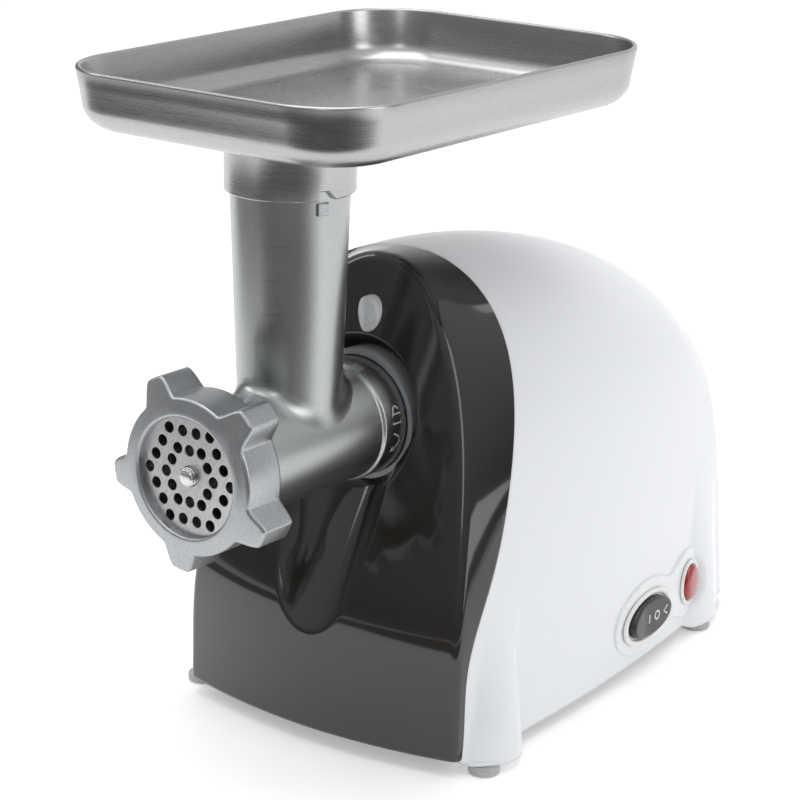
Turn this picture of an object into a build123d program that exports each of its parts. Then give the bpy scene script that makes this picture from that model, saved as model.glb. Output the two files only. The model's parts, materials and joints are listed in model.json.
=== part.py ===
"""Electric meat grinder with a bayonet head, a geared universal motor and a lift-off tray.

Frame: +Z up, the base stands on z = 0, -Y is the front with the grinding head, +X is the
switch side, x = 0 is the plane of symmetry of body and head.  The origin is the middle of the
overall length, on the standing surface.  Every size is in millimetres.
"""
from build123d import *
from math import atan, atan2, cos, degrees, pi, radians, sin, sqrt
import os

# ---------------------------------------------------------------- overall
head_reach = 71.0          # ring nut face to the foot of the front panel
body_length = 261.0        # foot of the front panel to the foot of the rear cover
body_height = 202.0
body_half_width = 72.0     # at the front seam
head_axis_z = 136.0
foot_height = 4.0

# ---------------------------------------------------------------- body shells
wall = 2.6
front_wall = 3.0
band_depth = 16.0          # front panel, foot of the face to the housing seam
rear_cover_depth = 7.0
front_lean = 0.25          # y gained per millimetre of height
seam_lean = 0.27
rear_lean = -0.13
front_bow = 263.0          # plan radius of the front face
width_swell = 13.0         # side outline: half width = w + swell t - taper t^2
width_taper = 31.0
crown_drop = 35.0          # top outline: height = h - drop t^2 - tail t^7
tail_drop = 14.0
arch_power = 5.8           # fullness of the housing's arch
face_half_width = 71.0
skirt_z = 6.0
shell_gap = 0.4            # between a shell and what sits inside it
boot_z = foot_height

# ---------------------------------------------------------------- head and ring nut
plate_radius = 26.9
plate_thickness = 7.0
plate_hole_radius = 2.25
hole_ring_radii = (12.06, 20.7)
barrel_radius = 23.85
barrel_bore = 20.5
thread_radius = 29.2
thread_gap = 0.08
collar_radius = 25.1
collar_length = 15.3
neck_radius = 22.6
neck_length = 20.0
tube_radius = 23.8
tube_wall = 2.4
tube_taper = 0.033         # radius lost per millimetre going down
tube_set_back = 63.6       # ring nut face to the tube's axis
ring_depth = 21.0
ring_radius = 31.8
ring_opening = 24.1
ring_lip = 3.3
lug_tip_radius = 40.6
lug_count = 5
lug_first_angle = 45.4
ring_slope = 0.24          # the front face falls back this much per millimetre of radius
plate_proud = 2.0          # plate face in front of the barrel's end

# ---------------------------------------------------------------- tray
tray_width = 151.6
tray_length = 214.7
tray_depth = 24.5
tray_corner = 34.0
tray_setback = 2.8         # tray's front edge behind the ring nut's face
tray_draft = 4.0
tray_wall = 2.2
tray_bottom_round = 11.0
tray_rim_z = 287.0
tray_collar_radius = 26.05
tray_collar_gap = 0.2
tray_collar_drop = 23.2    # collar below the tray's floor

# ---------------------------------------------------------------- auger, blade, stud
auger_clearance = 0.35
auger_core = 9.0
auger_pitch = 24.0
auger_flight = 3.2
blade_thickness = 5.5
blade_radius = 24.5
square_size = 9.0
stud_radius = 3.9
hex_flats = 12.0
hex_gap = 0.3
bush_gap = 0.05

# ---------------------------------------------------------------- gear train
stage_teeth = ((10, 60), (12, 48), (14, 42))
stage_module = (0.8, 1.0, 1.5)
stage_width = (6.0, 8.0, 12.0)
stage_gap = 2.0
case_wall = 4.0
motor_axis_z = 62.0
axle_radius = 3.0
output_shaft_radius = 9.0
output_head_radius = 11.0
gear_side_gap = 1.0

# ---------------------------------------------------------------- motor
shaft_radius = 4.0
nose_radius = 2.5
armature_radius = 20.5
air_gap = 0.6
stator_half_width = 38.0
stator_half_height = 34.0
stator_length = 45.0
coil_overhang = 8.0
commutator_radius = 11.0
fan_radius = 33.0
bearing_radius = 8.0
bearing_width = 6.0

# ---------------------------------------------------------------- controls
rocker_y = 64.5
rocker_z = 26.0
rocker_size = (37.0, 17.5)     # along the side, up
rocker_bezel_size = (rocker_size[0] + 10.0, rocker_size[1] + 6.5)
rocker_proud = 4.5
rocker_gap = 0.8           # round the cap, so that it can tilt 7 degrees each way
lamp_y = 110.0
lamp_z = 27.5
lamp_size = (14.5, 16.5)
lamp_bezel_size = (lamp_size[0] + 5.5, lamp_size[1] + 5.0)
lamp_proud = 3.0
pad_proud = 1.2
pad_margin = 5.0
seat_proud = pad_proud + 0.3
sleeve_inset = 1.3         # bezel sleeve inside the flange's edge
sleeve_deep = 9.5
button_gap = 0.35
release_z = 178.0
release_size = (12.0, 15.0)
release_proud = 3.5

# ---------------------------------------------------------------- places worked out from the sizes
total_length = head_reach + body_length
front_y = -total_length / 2
rear_y = total_length / 2
face_foot_y = front_y + head_reach
seam_foot_y = face_foot_y + band_depth
rear_seam_foot_y = rear_y - rear_cover_depth
plate_front_y = front_y + ring_lip
barrel_front_y = plate_front_y + plate_proud
plate_rear_y = plate_front_y + plate_thickness
blade_rear_y = plate_rear_y + blade_thickness
recess_rear_y = blade_rear_y + 0.5
tube_y = front_y + tube_set_back
face_axis_y = face_foot_y + front_lean * head_axis_z
socket_front_y = face_axis_y + 4.0
collar_rear_y = socket_front_y + 1.0
collar_front_y = collar_rear_y - collar_length
neck_rear_y = collar_rear_y + neck_length
case_front_y = neck_rear_y + 6.0
tray_floor_z = tray_rim_z - tray_depth
tube_top_z = tray_floor_z - 2.0
collar_bottom_z = tray_floor_z - tray_collar_drop
socket_bore = collar_radius + 0.35
socket_outer = socket_bore + 2.2

stage3_y = case_front_y + case_wall + gear_side_gap
stage2_y = stage3_y + stage_width[2] + stage_gap
stage1_y = stage2_y + stage_width[1] + stage_gap
case_rear_y = stage1_y + stage_width[0] + gear_side_gap + 1.0
cover_rear_y = case_rear_y + case_wall
bracket_rear_y = cover_rear_y + case_wall
front_bearing_y = bracket_rear_y
stator_front_y = front_bearing_y + bearing_width + coil_overhang + 2.0
stator_rear_y = stator_front_y + stator_length
commutator_y = stator_rear_y + coil_overhang + 2.0
commutator_length = 12.0
rear_bracket_y = commutator_y + commutator_length + 12.0
rear_bearing_y = rear_bracket_y - bearing_width
fan_y = rear_bracket_y + case_wall + 3.0
fan_width = 10.0
shaft_rear_y = fan_y + fan_width + 2.0

parts = {}


def keep(name, shape):
    """Store one named piece."""
    shape.label = name
    parts[name] = shape


# ================================================================ shared shapes
def along_y(radius, y0, y1, x=0.0, z=0.0, radius_end=None):
    """Cylinder or cone along Y between two stations."""
    end = radius if radius_end is None else radius_end
    spot = Plane(origin=(x, y0, z), x_dir=(1, 0, 0), z_dir=(0, 1, 0))
    if abs(end - radius) < 1e-9:
        return spot * Cylinder(radius, y1 - y0, align=(Align.CENTER, Align.CENTER, Align.MIN))
    return spot * Cone(radius, end, y1 - y0, align=(Align.CENTER, Align.CENTER, Align.MIN))


def along_z(radius, z0, z1, x=0.0, y=0.0, radius_end=None):
    """Cylinder or cone along Z between two heights."""
    end = radius if radius_end is None else radius_end
    if abs(end - radius) < 1e-9:
        shape = Cylinder(radius, z1 - z0, align=(Align.CENTER, Align.CENTER, Align.MIN))
    else:
        shape = Cone(radius, end, z1 - z0, align=(Align.CENTER, Align.CENTER, Align.MIN))
    return Pos(x, y, z0) * shape


def block(x0, x1, y0, y1, z0, z1):
    """Box between two corners."""
    return Pos((x0 + x1) / 2, (y0 + y1) / 2, (z0 + z1) / 2) * Box(x1 - x0, y1 - y0, z1 - z0)


def at_y(y, x=0.0, z=0.0):
    """Sketch plane across Y: sketch x is X, sketch y is -Z, normal +Y."""
    return Plane(origin=(x, y, z), x_dir=(1, 0, 0), z_dir=(0, 1, 0))


def polar(radius, angle):
    """Point on a circle in the sketch plane, angle in degrees."""
    return (radius * cos(radians(angle)), radius * sin(radians(angle)))


def plan_sector(radius, y0, y1, centre_angle, half_angle):
    """Pie-shaped sector of a cylinder along Y about the head's axis, angle from +X towards +Z."""
    a0 = radians(centre_angle - half_angle)
    a1 = radians(centre_angle + half_angle)
    mid = radians(centre_angle)
    reach = radius / cos(radians(half_angle))
    corners = [(0, 0), (reach * cos(a0), -reach * sin(a0)),
               (reach * 1.2 * cos(mid), -reach * 1.2 * sin(mid)), (reach * cos(a1), -reach * sin(a1))]
    wedge = extrude(at_y(y0, 0, head_axis_z) * make_face(Polyline(*corners, close=True)), y1 - y0)
    return wedge & along_y(radius, y0, y1, 0, head_axis_z)


# ================================================================ body outline
def housing_size(foot_y):
    """Half width and height of the housing's arch whose foot is at foot_y."""
    t = (foot_y - seam_foot_y) / (rear_seam_foot_y - seam_foot_y)
    half = body_half_width + width_swell * t - width_taper * t ** 2
    high = body_height - crown_drop * t ** 2 - tail_drop * max(t, 0) ** 7
    lean = seam_lean + (rear_lean - seam_lean) * t
    return half, high, lean


def housing_reach(share):
    """Share of the half width at a share of the height, for the housing's arch."""
    return sqrt(max(0.0, 1 - share ** arch_power))


def face_reach(share):
    """The same for the narrower outline of the front face."""
    return sqrt(max(0.0, 1 - 0.85 * share - 0.15 * share ** 20))


def arch_points(half, high, reach, count=9):
    """Points from the right foot to the crown, evenly spaced along the outline."""
    fine = 400
    dense = []
    for i in range(fine + 1):
        share = sin(pi / 2 * i / fine)
        dense.append((half * reach(share), high * share))
    run = [0.0]
    for p, q in zip(dense, dense[1:]):
        run.append(run[-1] + sqrt((p[0] - q[0]) ** 2 + (p[1] - q[1]) ** 2))
    picked = []
    j = 0
    for i in range(count):
        goal = run[-1] * i / (count - 1)
        while j < fine - 1 and run[j + 1] < goal:
            j += 1
        part = (goal - run[j]) / (run[j + 1] - run[j])
        p, q = dense[j], dense[j + 1]
        picked.append((p[0] + part * (q[0] - p[0]), p[1] + part * (q[1] - p[1])))
    picked[-1] = (0.0, high)
    return picked


def arch_face(foot_y, lean, half, high, reach):
    """Closed arch in the plane that leans back through the foot line."""
    right = arch_points(half, high, reach)
    outline = right + [(-x, z) for x, z in reversed(right[:-1])]
    points = [Vector(x, foot_y + lean * z, z) for x, z in outline]
    side = points[1] - points[0]
    other = points[-1] - points[-2]
    curve = Spline(*points, tangents=(side.normalized(), other.normalized()))
    return make_face(curve + Line(points[-1], points[0]))


def housing_loft(inset, front_extra=0.0, rear_extra=0.0):
    """Smooth body of the housing, inset all round, from the front seam to the rear seam."""
    first = seam_foot_y - front_extra
    last = rear_seam_foot_y + rear_extra
    faces = []
    stations = 7
    for i in range(stations):
        foot = first + (last - first) * i / (stations - 1)
        half, high, lean = housing_size(foot)
        faces.append(arch_face(foot, lean, half - inset, high - inset, housing_reach))
    return loft(faces)


def side_x(y, z):
    """Half width of the housing's outside at a station and height."""
    foot = y
    for _ in range(30):
        foot = y - housing_size(foot)[2] * z
    half, high, _lean = housing_size(foot)
    return half * housing_reach(z / high)


def face_y(x, z):
    """The front face's surface."""
    return face_foot_y + front_lean * z + front_bow - sqrt(front_bow ** 2 - x ** 2)


def behind_front(setback):
    """Everything behind the bowed and leaning front face, moved back by setback."""
    half = body_half_width + 15
    far = 400.0
    edge = front_bow - sqrt(front_bow ** 2 - half ** 2)
    y0 = face_foot_y + setback
    arc = ThreePointArc((-half, y0 + edge), (0, y0), (half, y0 + edge))
    rest = Polyline((half, y0 + edge), (half, y0 + far), (-half, y0 + far), (-half, y0 + edge))
    tall = body_height + 20
    return extrude(make_face(arc + rest), tall, dir=Vector(0, front_lean, 1))


def panel_loft(inset):
    """Front body between the face outline and the seam outline."""
    half, high, _lean = housing_size(seam_foot_y)
    face = arch_face(face_foot_y, front_lean, face_half_width - inset, high - inset, face_reach)
    seam = arch_face(seam_foot_y, seam_lean, half - inset, high - inset, housing_reach)
    return loft([face, seam], ruled=True)


def slab(z0, z1):
    """Layer of space between two heights."""
    return block(-200, 200, -400, 400, z0, z1)


def oval(width, height):
    """Ellipse of the given full size."""
    return Ellipse(width / 2, height / 2)


def side_plane(y, z):
    """Plane on the housing's switch side: sketch x runs towards the rear, y up, normal outwards."""
    step = 4.0
    slope = (side_x(y + step, z) - side_x(y - step, z)) / (2 * step)
    normal = Vector(1, -slope, 0).normalized()
    return Plane(origin=(side_x(y, z), y, z), x_dir=(slope, 1, 0), z_dir=normal)


# ================================================================ cutters shared by shells and controls
rocker_plane = side_plane(rocker_y, rocker_z)
lamp_plane = side_plane(lamp_y, lamp_z)
face_slope = degrees(atan(front_lean))
release_y = face_y(0, release_z)
release_plane = Plane(origin=(0, release_y, release_z), x_dir=(1, 0, 0), z_dir=(0, -1, 0))
inlet_x = -26.0
inlet_z = 26.0
inlet_hole = 6.5
cord_bore = 3.8
boot_spots = ((70.0, seam_foot_y + 19.0, 15.5, 18.0), (57.0, rear_seam_foot_y - 31.0, 9.5, 20.0))
foot_spots = ((76.5, seam_foot_y + 10.2), (60.5, rear_seam_foot_y - 35.0))
foot_radius = 6.6
foot_peg = 3.0
peg_height = 2.0
base_z = skirt_z + 1.0
base_thickness = 3.0
base_top = base_z + base_thickness
screw_spots = ((seam_foot_y + 60.0), (rear_seam_foot_y - 60.0))
screw_radius = 1.6
boss_radius = 4.5
boss_height = 22.0


def scoop(extra=0.0):
    """Hollow under the barrel: a slanting elliptical channel that runs out on the front face."""
    channel_half = 27.0 + extra
    channel_deep = 16.0 + extra
    slant = 11.0 + face_slope
    middle_z = head_axis_z - 11.0
    start = (0, face_foot_y + front_lean * middle_z, middle_z)
    run = (0, sin(radians(slant)), cos(radians(slant)))
    plane = Plane(origin=start, x_dir=(1, 0, 0), z_dir=run)
    section = plane * Ellipse(channel_half, channel_deep)
    return extrude(section, -140) + extrude(section, 13)


def boss_x(y):
    """Centre of a screw boss beside the housing's side wall."""
    return side_x(y, boss_height) - wall - boss_radius + 1.0


# ================================================================ body shells
def make_housing():
    outer = housing_loft(0.0)
    inner = housing_loft(wall, 4.0, 4.0)
    shell = (outer - inner) & slab(skirt_z, body_height + 5)
    behind_seam = housing_loft(-30.0) & slab(boot_z, 90)
    for x, y, rx, ry in boot_spots:
        for side in (1, -1):
            low = Pos(side * x, y, boot_z) * Ellipse(rx, ry)
            top_x = side_x(y + 6, 60) - wall / 2
            high = Pos(side * top_x, y + 8, 60) * Ellipse(1.2, 9.0)
            leg = loft([low, high]) & behind_seam
            shell = shell + (leg - (inner & slab(base_z - 1, 70)))
    for y in screw_spots:
        for side in (1, -1):
            shell = shell + along_z(boss_radius, base_top, base_top + boss_height, side * boss_x(y), y)
            shell = shell - along_z(screw_radius, base_top - 1, base_top + 14, side * boss_x(y), y)
    pad = rocker_plane * oval(rocker_bezel_size[0] + 2 * pad_margin, rocker_bezel_size[1] + 2 * pad_margin)
    lobe = lamp_plane * oval(lamp_bezel_size[0] + 2 * pad_margin, lamp_bezel_size[1] + 2 * pad_margin)
    bridge_y = (rocker_y + lamp_y) / 2 + 4
    bridge = side_plane(bridge_y, (rocker_z + lamp_z) / 2) * Rectangle(28, 22)
    raised = housing_loft(-pad_proud) - outer
    thick = 12.0
    pads = extrude(pad, thick, both=True) + extrude(lobe, thick, both=True)
    pads = pads + extrude(bridge, thick, both=True)
    shell = shell + (pads & raised & slab(skirt_z + 1, 60))
    for plane, size in ((rocker_plane, rocker_bezel_size), (lamp_plane, lamp_bezel_size)):
        seat = plane.offset(seat_proud)
        shell = shell + extrude(seat * oval(size[0] + 1, size[1] + 1), -wall)
        shell = shell - extrude(seat * oval(size[0] + 1, size[1] + 1), 12)
        narrow = 2 * sleeve_inset - 0.4
        shell = shell - extrude(seat * oval(size[0] - narrow, size[1] - narrow), 24, both=True)
    for x, y in foot_spots:
        for side in (1, -1):
            shell = shell - along_z(foot_peg, boot_z - 1, boot_z + peg_height, side * x, y)
    keep("main_housing", shell)


def make_front_panel():
    outer = panel_loft(0.0) & behind_front(0.0)
    inner = panel_loft(wall) & behind_front(front_wall)
    panel = outer - inner
    hollow = scoop()
    lining = (scoop(wall) - hollow) & outer
    panel = (panel - hollow) + (lining - along_y(socket_outer + 0.2, face_foot_y, 60, 0, head_axis_z))
    rim = along_y(socket_outer + 5.5, face_axis_y - 20, face_axis_y + 9, 0, head_axis_z,
                  socket_outer + 0.3)
    collar = along_y(socket_outer + 7.5, face_axis_y - 20, socket_front_y + 16, 0, head_axis_z,
                     socket_outer + 2.8)
    panel = panel + ((collar & outer) - hollow)
    panel = panel - rim
    panel = panel - along_y(socket_outer + 0.3, face_foot_y, 60, 0, head_axis_z)
    hole = release_plane * oval(release_size[0] + 2 * button_gap, release_size[1] + 2 * button_gap)
    panel = panel - extrude(hole, 20, both=True)
    half = tongue_width / 2 + 0.6
    low = head_axis_z + socket_outer - 1
    panel = panel - block(-half, half, arm_y - 1.0, arm_y + 30, low, release_z + 8)
    panel = panel & slab(skirt_z + 1.5, body_height + 5)
    keep("front_panel", panel)


def make_rear_cover():
    half, high, lean = housing_size(rear_seam_foot_y)
    tuck = 6.0

    def dish(inset, back):
        near = arch_face(rear_seam_foot_y, lean, half - inset, high - inset, housing_reach)
        far = arch_face(rear_y - back, lean, half - tuck - inset, high - tuck - inset, housing_reach)
        return loft([near, far], ruled=True)

    cover = (dish(0.0, 0.0) - dish(wall, wall)) & slab(skirt_z, body_height)
    slots = 9
    slot_pitch = 7.0
    for row, z in enumerate((62.0, 96.0)):
        for i in range(slots):
            x = (i - (slots - 1) / 2) * slot_pitch
            slot = at_y(rear_y - 40, x, z) * SlotOverall(26 - 4 * row, 3.0, rotation=90)
            cover = cover - extrude(slot, 60)
    cover = cover - along_y(inlet_hole, rear_y - 40, rear_y + 10, inlet_x, inlet_z)
    keep("rear_cover", cover)


def make_base():
    room = housing_loft(wall + shell_gap) & slab(base_z, base_top)
    front_room = panel_loft(wall + shell_gap) & behind_front(front_wall + shell_gap)
    plate = room + (front_room & slab(base_z, base_top))
    for row in range(2):
        for i in range(8):
            x = (i - 3.5) * 9.0
            y = stator_front_y + 12 + row * 34
            slot = Pos(x, y, base_z) * SlotOverall(24, 3.2, rotation=90)
            plate = plate - extrude(slot, base_thickness)
    post = 7.0
    for x, y, top in mount_spots():
        plate = plate + block(x - post, x + post, y - post / 2, y + post / 2, base_top, top)
    for y in screw_spots:
        for side in (1, -1):
            plate = plate - along_z(screw_radius + 0.2, base_z - 1, base_top + 1, side * boss_x(y), y)
    keep("base_plate", plate)


mount_top = 16.0
mount_rubber = 4.0


def mount_spots():
    """Base posts under the two motor brackets."""
    spots = []
    for y in (cover_rear_y + case_wall / 2, rear_bracket_y + case_wall / 2):
        for side in (1, -1):
            spots.append((side * 24.0, y, mount_top))
    return spots


def make_feet():
    feet = []
    for x, y in foot_spots:
        for side in (1, -1):
            foot = along_z(foot_radius, 0, boot_z, side * x, y)
            foot = foot + along_z(foot_peg, boot_z, boot_z + peg_height, side * x, y)
            foot = chamfer(foot.edges().filter_by(GeomType.CIRCLE).sort_by(Axis.Z)[0], 0.8)
            feet.append(foot)
    keep("rubber_feet", Compound(children=feet))


def make_base_screws():
    screws = []
    head = 3.2
    for y in screw_spots:
        for side in (1, -1):
            x = side * boss_x(y)
            screw = along_z(head, base_z - 2, base_z, x, y)
            screw = screw + along_z(screw_radius, base_z, base_z + 14, x, y)
            screw = screw - block(x - head, x + head, y - 0.4, y + 0.4, base_z - 2, base_z - 1)
            screws.append(screw)
    keep("base_screws", Compound(children=screws))


# ================================================================ head
def tube_outer(z):
    """Feed tube's outer radius at a height."""
    return tube_radius - tube_taper * max(0.0, collar_bottom_z - z)


lug_half_angle = 14.0
lug_angles = (45.0, 165.0, 285.0)
lug_length = 6.0
unlock_turn = 45.0


def make_head():
    z = head_axis_z
    barrel = along_y(barrel_radius, barrel_front_y, collar_front_y, 0, z)
    barrel = barrel + along_y(thread_radius, barrel_front_y, front_y + ring_depth - 2, 0, z)
    barrel = barrel + along_y(collar_radius, collar_front_y, collar_rear_y, 0, z)
    barrel = barrel + along_y(neck_radius, collar_rear_y, neck_rear_y, 0, z)
    for angle in lug_angles:
        barrel = barrel + plan_sector(collar_radius, neck_rear_y - lug_length, neck_rear_y, angle,
                                      lug_half_angle)
    tube = along_z(tube_outer(z), z, collar_bottom_z, 0, tube_y, tube_radius)
    tube = tube + along_z(tube_radius, collar_bottom_z, tube_top_z, 0, tube_y)
    head = barrel + tube
    bore_rear = collar_rear_y - 4.0
    head = head - along_y(barrel_bore, barrel_front_y, bore_rear, 0, z)
    head = head - along_y(plate_radius + 0.2, barrel_front_y, recess_rear_y, 0, z)
    head = head - along_y(bush_radius, bore_rear, neck_rear_y, 0, z)
    bore = along_z(tube_outer(z) - tube_wall, z, collar_bottom_z, 0, tube_y, tube_radius - tube_wall)
    bore = bore + along_z(tube_radius - tube_wall, collar_bottom_z, tube_top_z, 0, tube_y)
    head = head - bore
    key_angle = -19.0
    kx, ky = polar(tube_radius, key_angle)
    lug = Pos(kx, tube_y + ky, collar_bottom_z - 3.5) * Rot(0, 0, key_angle) * Box(2.0, 5.0, 5.0)
    head = head + (lug - along_z(tube_radius - 0.5, collar_bottom_z - 8, collar_bottom_z, 0, tube_y))
    half_turn = unlock_turn / 2
    notch = plan_sector(collar_radius + 1, collar_rear_y - tongue_bite - 0.5, collar_rear_y + 1,
                        90 + half_turn, half_turn + 14)
    head = head - (notch - along_y(neck_radius, collar_rear_y - 5, collar_rear_y + 2, 0, z))
    head = head - along_z(key_radius, z + barrel_bore - 1, z + plate_radius + 3, 0, key_y)
    keep("head_casting", head)


bush_radius = 13.0
shank_radius = 8.0
key_radius = 1.5
key_y = plate_rear_y - 2.5


def make_plate():
    z = head_axis_z
    plate = along_y(plate_radius, plate_front_y, plate_rear_y, 0, z)
    holes = [(0.0, 0.0, stud_radius + 0.15)]
    for side_count, radius in ((2, hole_ring_radii[0]), (3, hole_ring_radii[1])):
        for corner in range(6):
            x0, z0 = polar(radius, 60 * corner)
            x1, z1 = polar(radius, 60 * corner + 60)
            for i in range(side_count):
                share = i / side_count
                holes.append((x0 + share * (x1 - x0), z0 + share * (z1 - z0), plate_hole_radius))
    for x, dz, radius in holes:
        plate = plate - along_y(radius, plate_front_y - 1, plate_rear_y + 1, x, z + dz)
    slot = block(-key_radius - 0.1, key_radius + 0.1, key_y - key_radius - 0.1, plate_rear_y + 1,
                 z + plate_radius - 2.2, z + plate_radius + 2)
    keep("grinding_plate", plate - slot)
    key = along_z(key_radius, z + plate_radius - 2.0, z + thread_radius - 0.4, 0, key_y)
    keep("locating_pin", key)


def lug_outline():
    """One lobe of the ring nut about the sketch +X axis, with hollow flanks and a rounded tip."""
    root = ring_radius - 1.0
    root_angle = 20.0
    tip_angle = 7.5
    shoulder = lug_tip_radius - 1.8
    a = polar(root, -root_angle)
    b = polar(shoulder, -tip_angle)
    c = polar(lug_tip_radius, -tip_angle + 3.0)
    hollow = polar(root + 2.6, -tip_angle - 4.2)
    lower = ThreePointArc(a, hollow, b)
    upper = mirror(lower, Plane.XZ)
    tip = ThreePointArc(c, (lug_tip_radius + 0.3, 0), (c[0], -c[1]))
    edges = lower + Line(b, c) + tip + Line((c[0], -c[1]), (b[0], -b[1])) + upper
    inner = Line((a[0], -a[1]), (0, 0)) + Line((0, 0), a)
    return make_face(edges + inner)


def make_ring_nut():
    z = head_axis_z
    plane = at_y(front_y, 0, z)
    ring = extrude(plane * Circle(ring_radius), ring_depth)
    for i in range(lug_count):
        angle = lug_first_angle + i * 360 / lug_count
        ring = ring + extrude(plane * (Rot(0, 0, -angle) * lug_outline()), ring_depth - 1.0)
    ring = ring - along_y(ring_opening, front_y - 1, front_y + ring_depth + 1, 0, z)
    ring = ring - along_y(thread_radius + thread_gap, plate_front_y, front_y + ring_depth + 1, 0, z)
    bevel = along_y(ring_opening + 1.0, front_y - 0.01, front_y + 1.0, 0, z, ring_opening)
    flat = ring_opening + 1.5
    cone_end = front_y + (lug_tip_radius + 2 - flat) * ring_slope
    fall = along_y(flat, front_y, cone_end, 0, z, lug_tip_radius + 2)
    fall = fall + along_y(lug_tip_radius + 2, cone_end, front_y + ring_depth, 0, z)
    keep("ring_nut", (ring - bevel) & fall)


# ================================================================ auger group
def make_auger():
    z = head_axis_z
    flight_radius = barrel_bore - auger_clearance
    y0 = blade_rear_y
    y1 = collar_rear_y - 4.6
    core = along_y(auger_core - 1.5, y0, y1, 0, z, auger_core + 2)
    half = square_size / 2
    stub = block(-half, half, plate_rear_y + 0.4, y0, z - half, z + half)
    turns_length = y1 - y0 - 8.0
    path = Helix(auger_pitch, turns_length, auger_core)
    span = flight_radius - auger_core + 3.0
    start = path @ 0
    tooth = Plane(origin=start, x_dir=(1, 0, 0), z_dir=path % 0)
    tooth = tooth * Pos(span / 2 - 3.0, 0) * Rectangle(span, auger_flight)
    worm = sweep(tooth, path, is_frenet=True)
    worm = at_y(y0 + 4.0, 0, z) * worm
    limit = along_y(flight_radius, y0, y1, 0, z)
    auger = core + (worm & limit) + stub
    end_disc = along_y(barrel_bore - auger_clearance - 2, y1 - 2.0, y1, 0, z)
    shank = along_y(shank_radius, y1, neck_rear_y, 0, z)
    drive = extrude(at_y(neck_rear_y, 0, z) * RegularPolygon(hex_flats / 2, 6, major_radius=False),
                    drive_reach)
    auger = auger + end_disc + shank + drive
    auger = auger - along_y(stud_radius, plate_rear_y, plate_rear_y + 14, 0, z)
    keep("auger", auger)
    bush = along_y(bush_radius - bush_gap, y1, neck_rear_y - 1.0, 0, z)
    bush = bush - along_y(shank_radius, y1 - 1, neck_rear_y, 0, z)
    keep("auger_bush", bush)
    stud = along_y(stud_radius - 0.5, front_y + 0.5, plate_rear_y + 14, 0, z)
    stud = stud + along_y(stud_radius, plate_rear_y - 2, plate_rear_y + 14, 0, z)
    pitch = 1.5
    first = front_y + 1.2
    for i in range(4):
        y = first + i * pitch
        stud = stud + along_y(stud_radius - 0.55, y, y + pitch / 2, 0, z, stud_radius)
        stud = stud + along_y(stud_radius, y + pitch / 2, y + pitch, 0, z, stud_radius - 0.55)
    stud = stud + along_y(stud_radius, first + 4 * pitch, plate_rear_y, 0, z)
    keep("auger_stud", stud)


drive_reach = 14.0


def make_blade():
    z = head_axis_z
    arm = 7.5
    blade = along_y(9.5, plate_rear_y, blade_rear_y, 0, z)
    for i in range(4):
        bar = block(0, blade_radius, plate_rear_y, blade_rear_y, -arm / 2, arm / 2)
        ramp = Plane.YZ * make_face(Polyline(
            (plate_rear_y + 1.6, arm / 2), (blade_rear_y + 1, arm / 2 - 3.4),
            (blade_rear_y + 1, arm / 2 + 1),
            (plate_rear_y + 1.6, arm / 2 + 1), close=True))
        bar = bar - extrude(ramp, blade_radius + 1)
        blade = blade + Pos(0, 0, z) * Rot(0, 90 * i, 0) * bar
    half = square_size / 2 + 0.1
    blade = blade - block(-half, half, plate_rear_y - 1, blade_rear_y + 1, z - half, z + half)
    keep("cutting_blade", blade & along_y(blade_radius, plate_rear_y, blade_rear_y, 0, z))


# ================================================================ tray
def rounded_plate(inset, z, corner):
    """Rounded rectangle of the tray's outline, inset, at a height."""
    centre_y = front_y + tray_setback + tray_length / 2
    wide = tray_width - 2 * inset
    return Pos(0, centre_y, z) * RectangleRounded(wide, tray_length - 2 * inset, corner)


def make_tray():
    low = rounded_plate(tray_draft, tray_floor_z, tray_corner - tray_draft)
    high = rounded_plate(0.0, tray_rim_z, tray_corner)
    outer = loft([low, high], ruled=True)
    outer = fillet(outer.faces().sort_by(Axis.Z)[0].edges(), tray_bottom_round)
    lift = tray_wall * tray_draft / tray_depth
    low = rounded_plate(tray_draft + tray_wall - lift, tray_floor_z + tray_wall,
                        tray_corner - tray_draft - tray_wall + lift)
    high = rounded_plate(tray_wall, tray_rim_z + 0.001, tray_corner - tray_wall)
    inner = loft([low, high], ruled=True)
    inner = fillet(inner.faces().sort_by(Axis.Z)[0].edges(), tray_bottom_round - tray_wall)
    tray = outer - inner
    tray = tray + along_z(tray_collar_radius, collar_bottom_z, tray_floor_z + 1, 0, tube_y)
    tray = tray - along_z(tube_radius + tray_collar_gap, collar_bottom_z - 1, tube_top_z, 0, tube_y)
    tray = tray - along_z(feed_bore, tube_top_z - 1, tray_floor_z + tray_wall + 1, 0, tube_y)
    keep("tray", tray)


feed_bore = tube_radius - tube_wall


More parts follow.
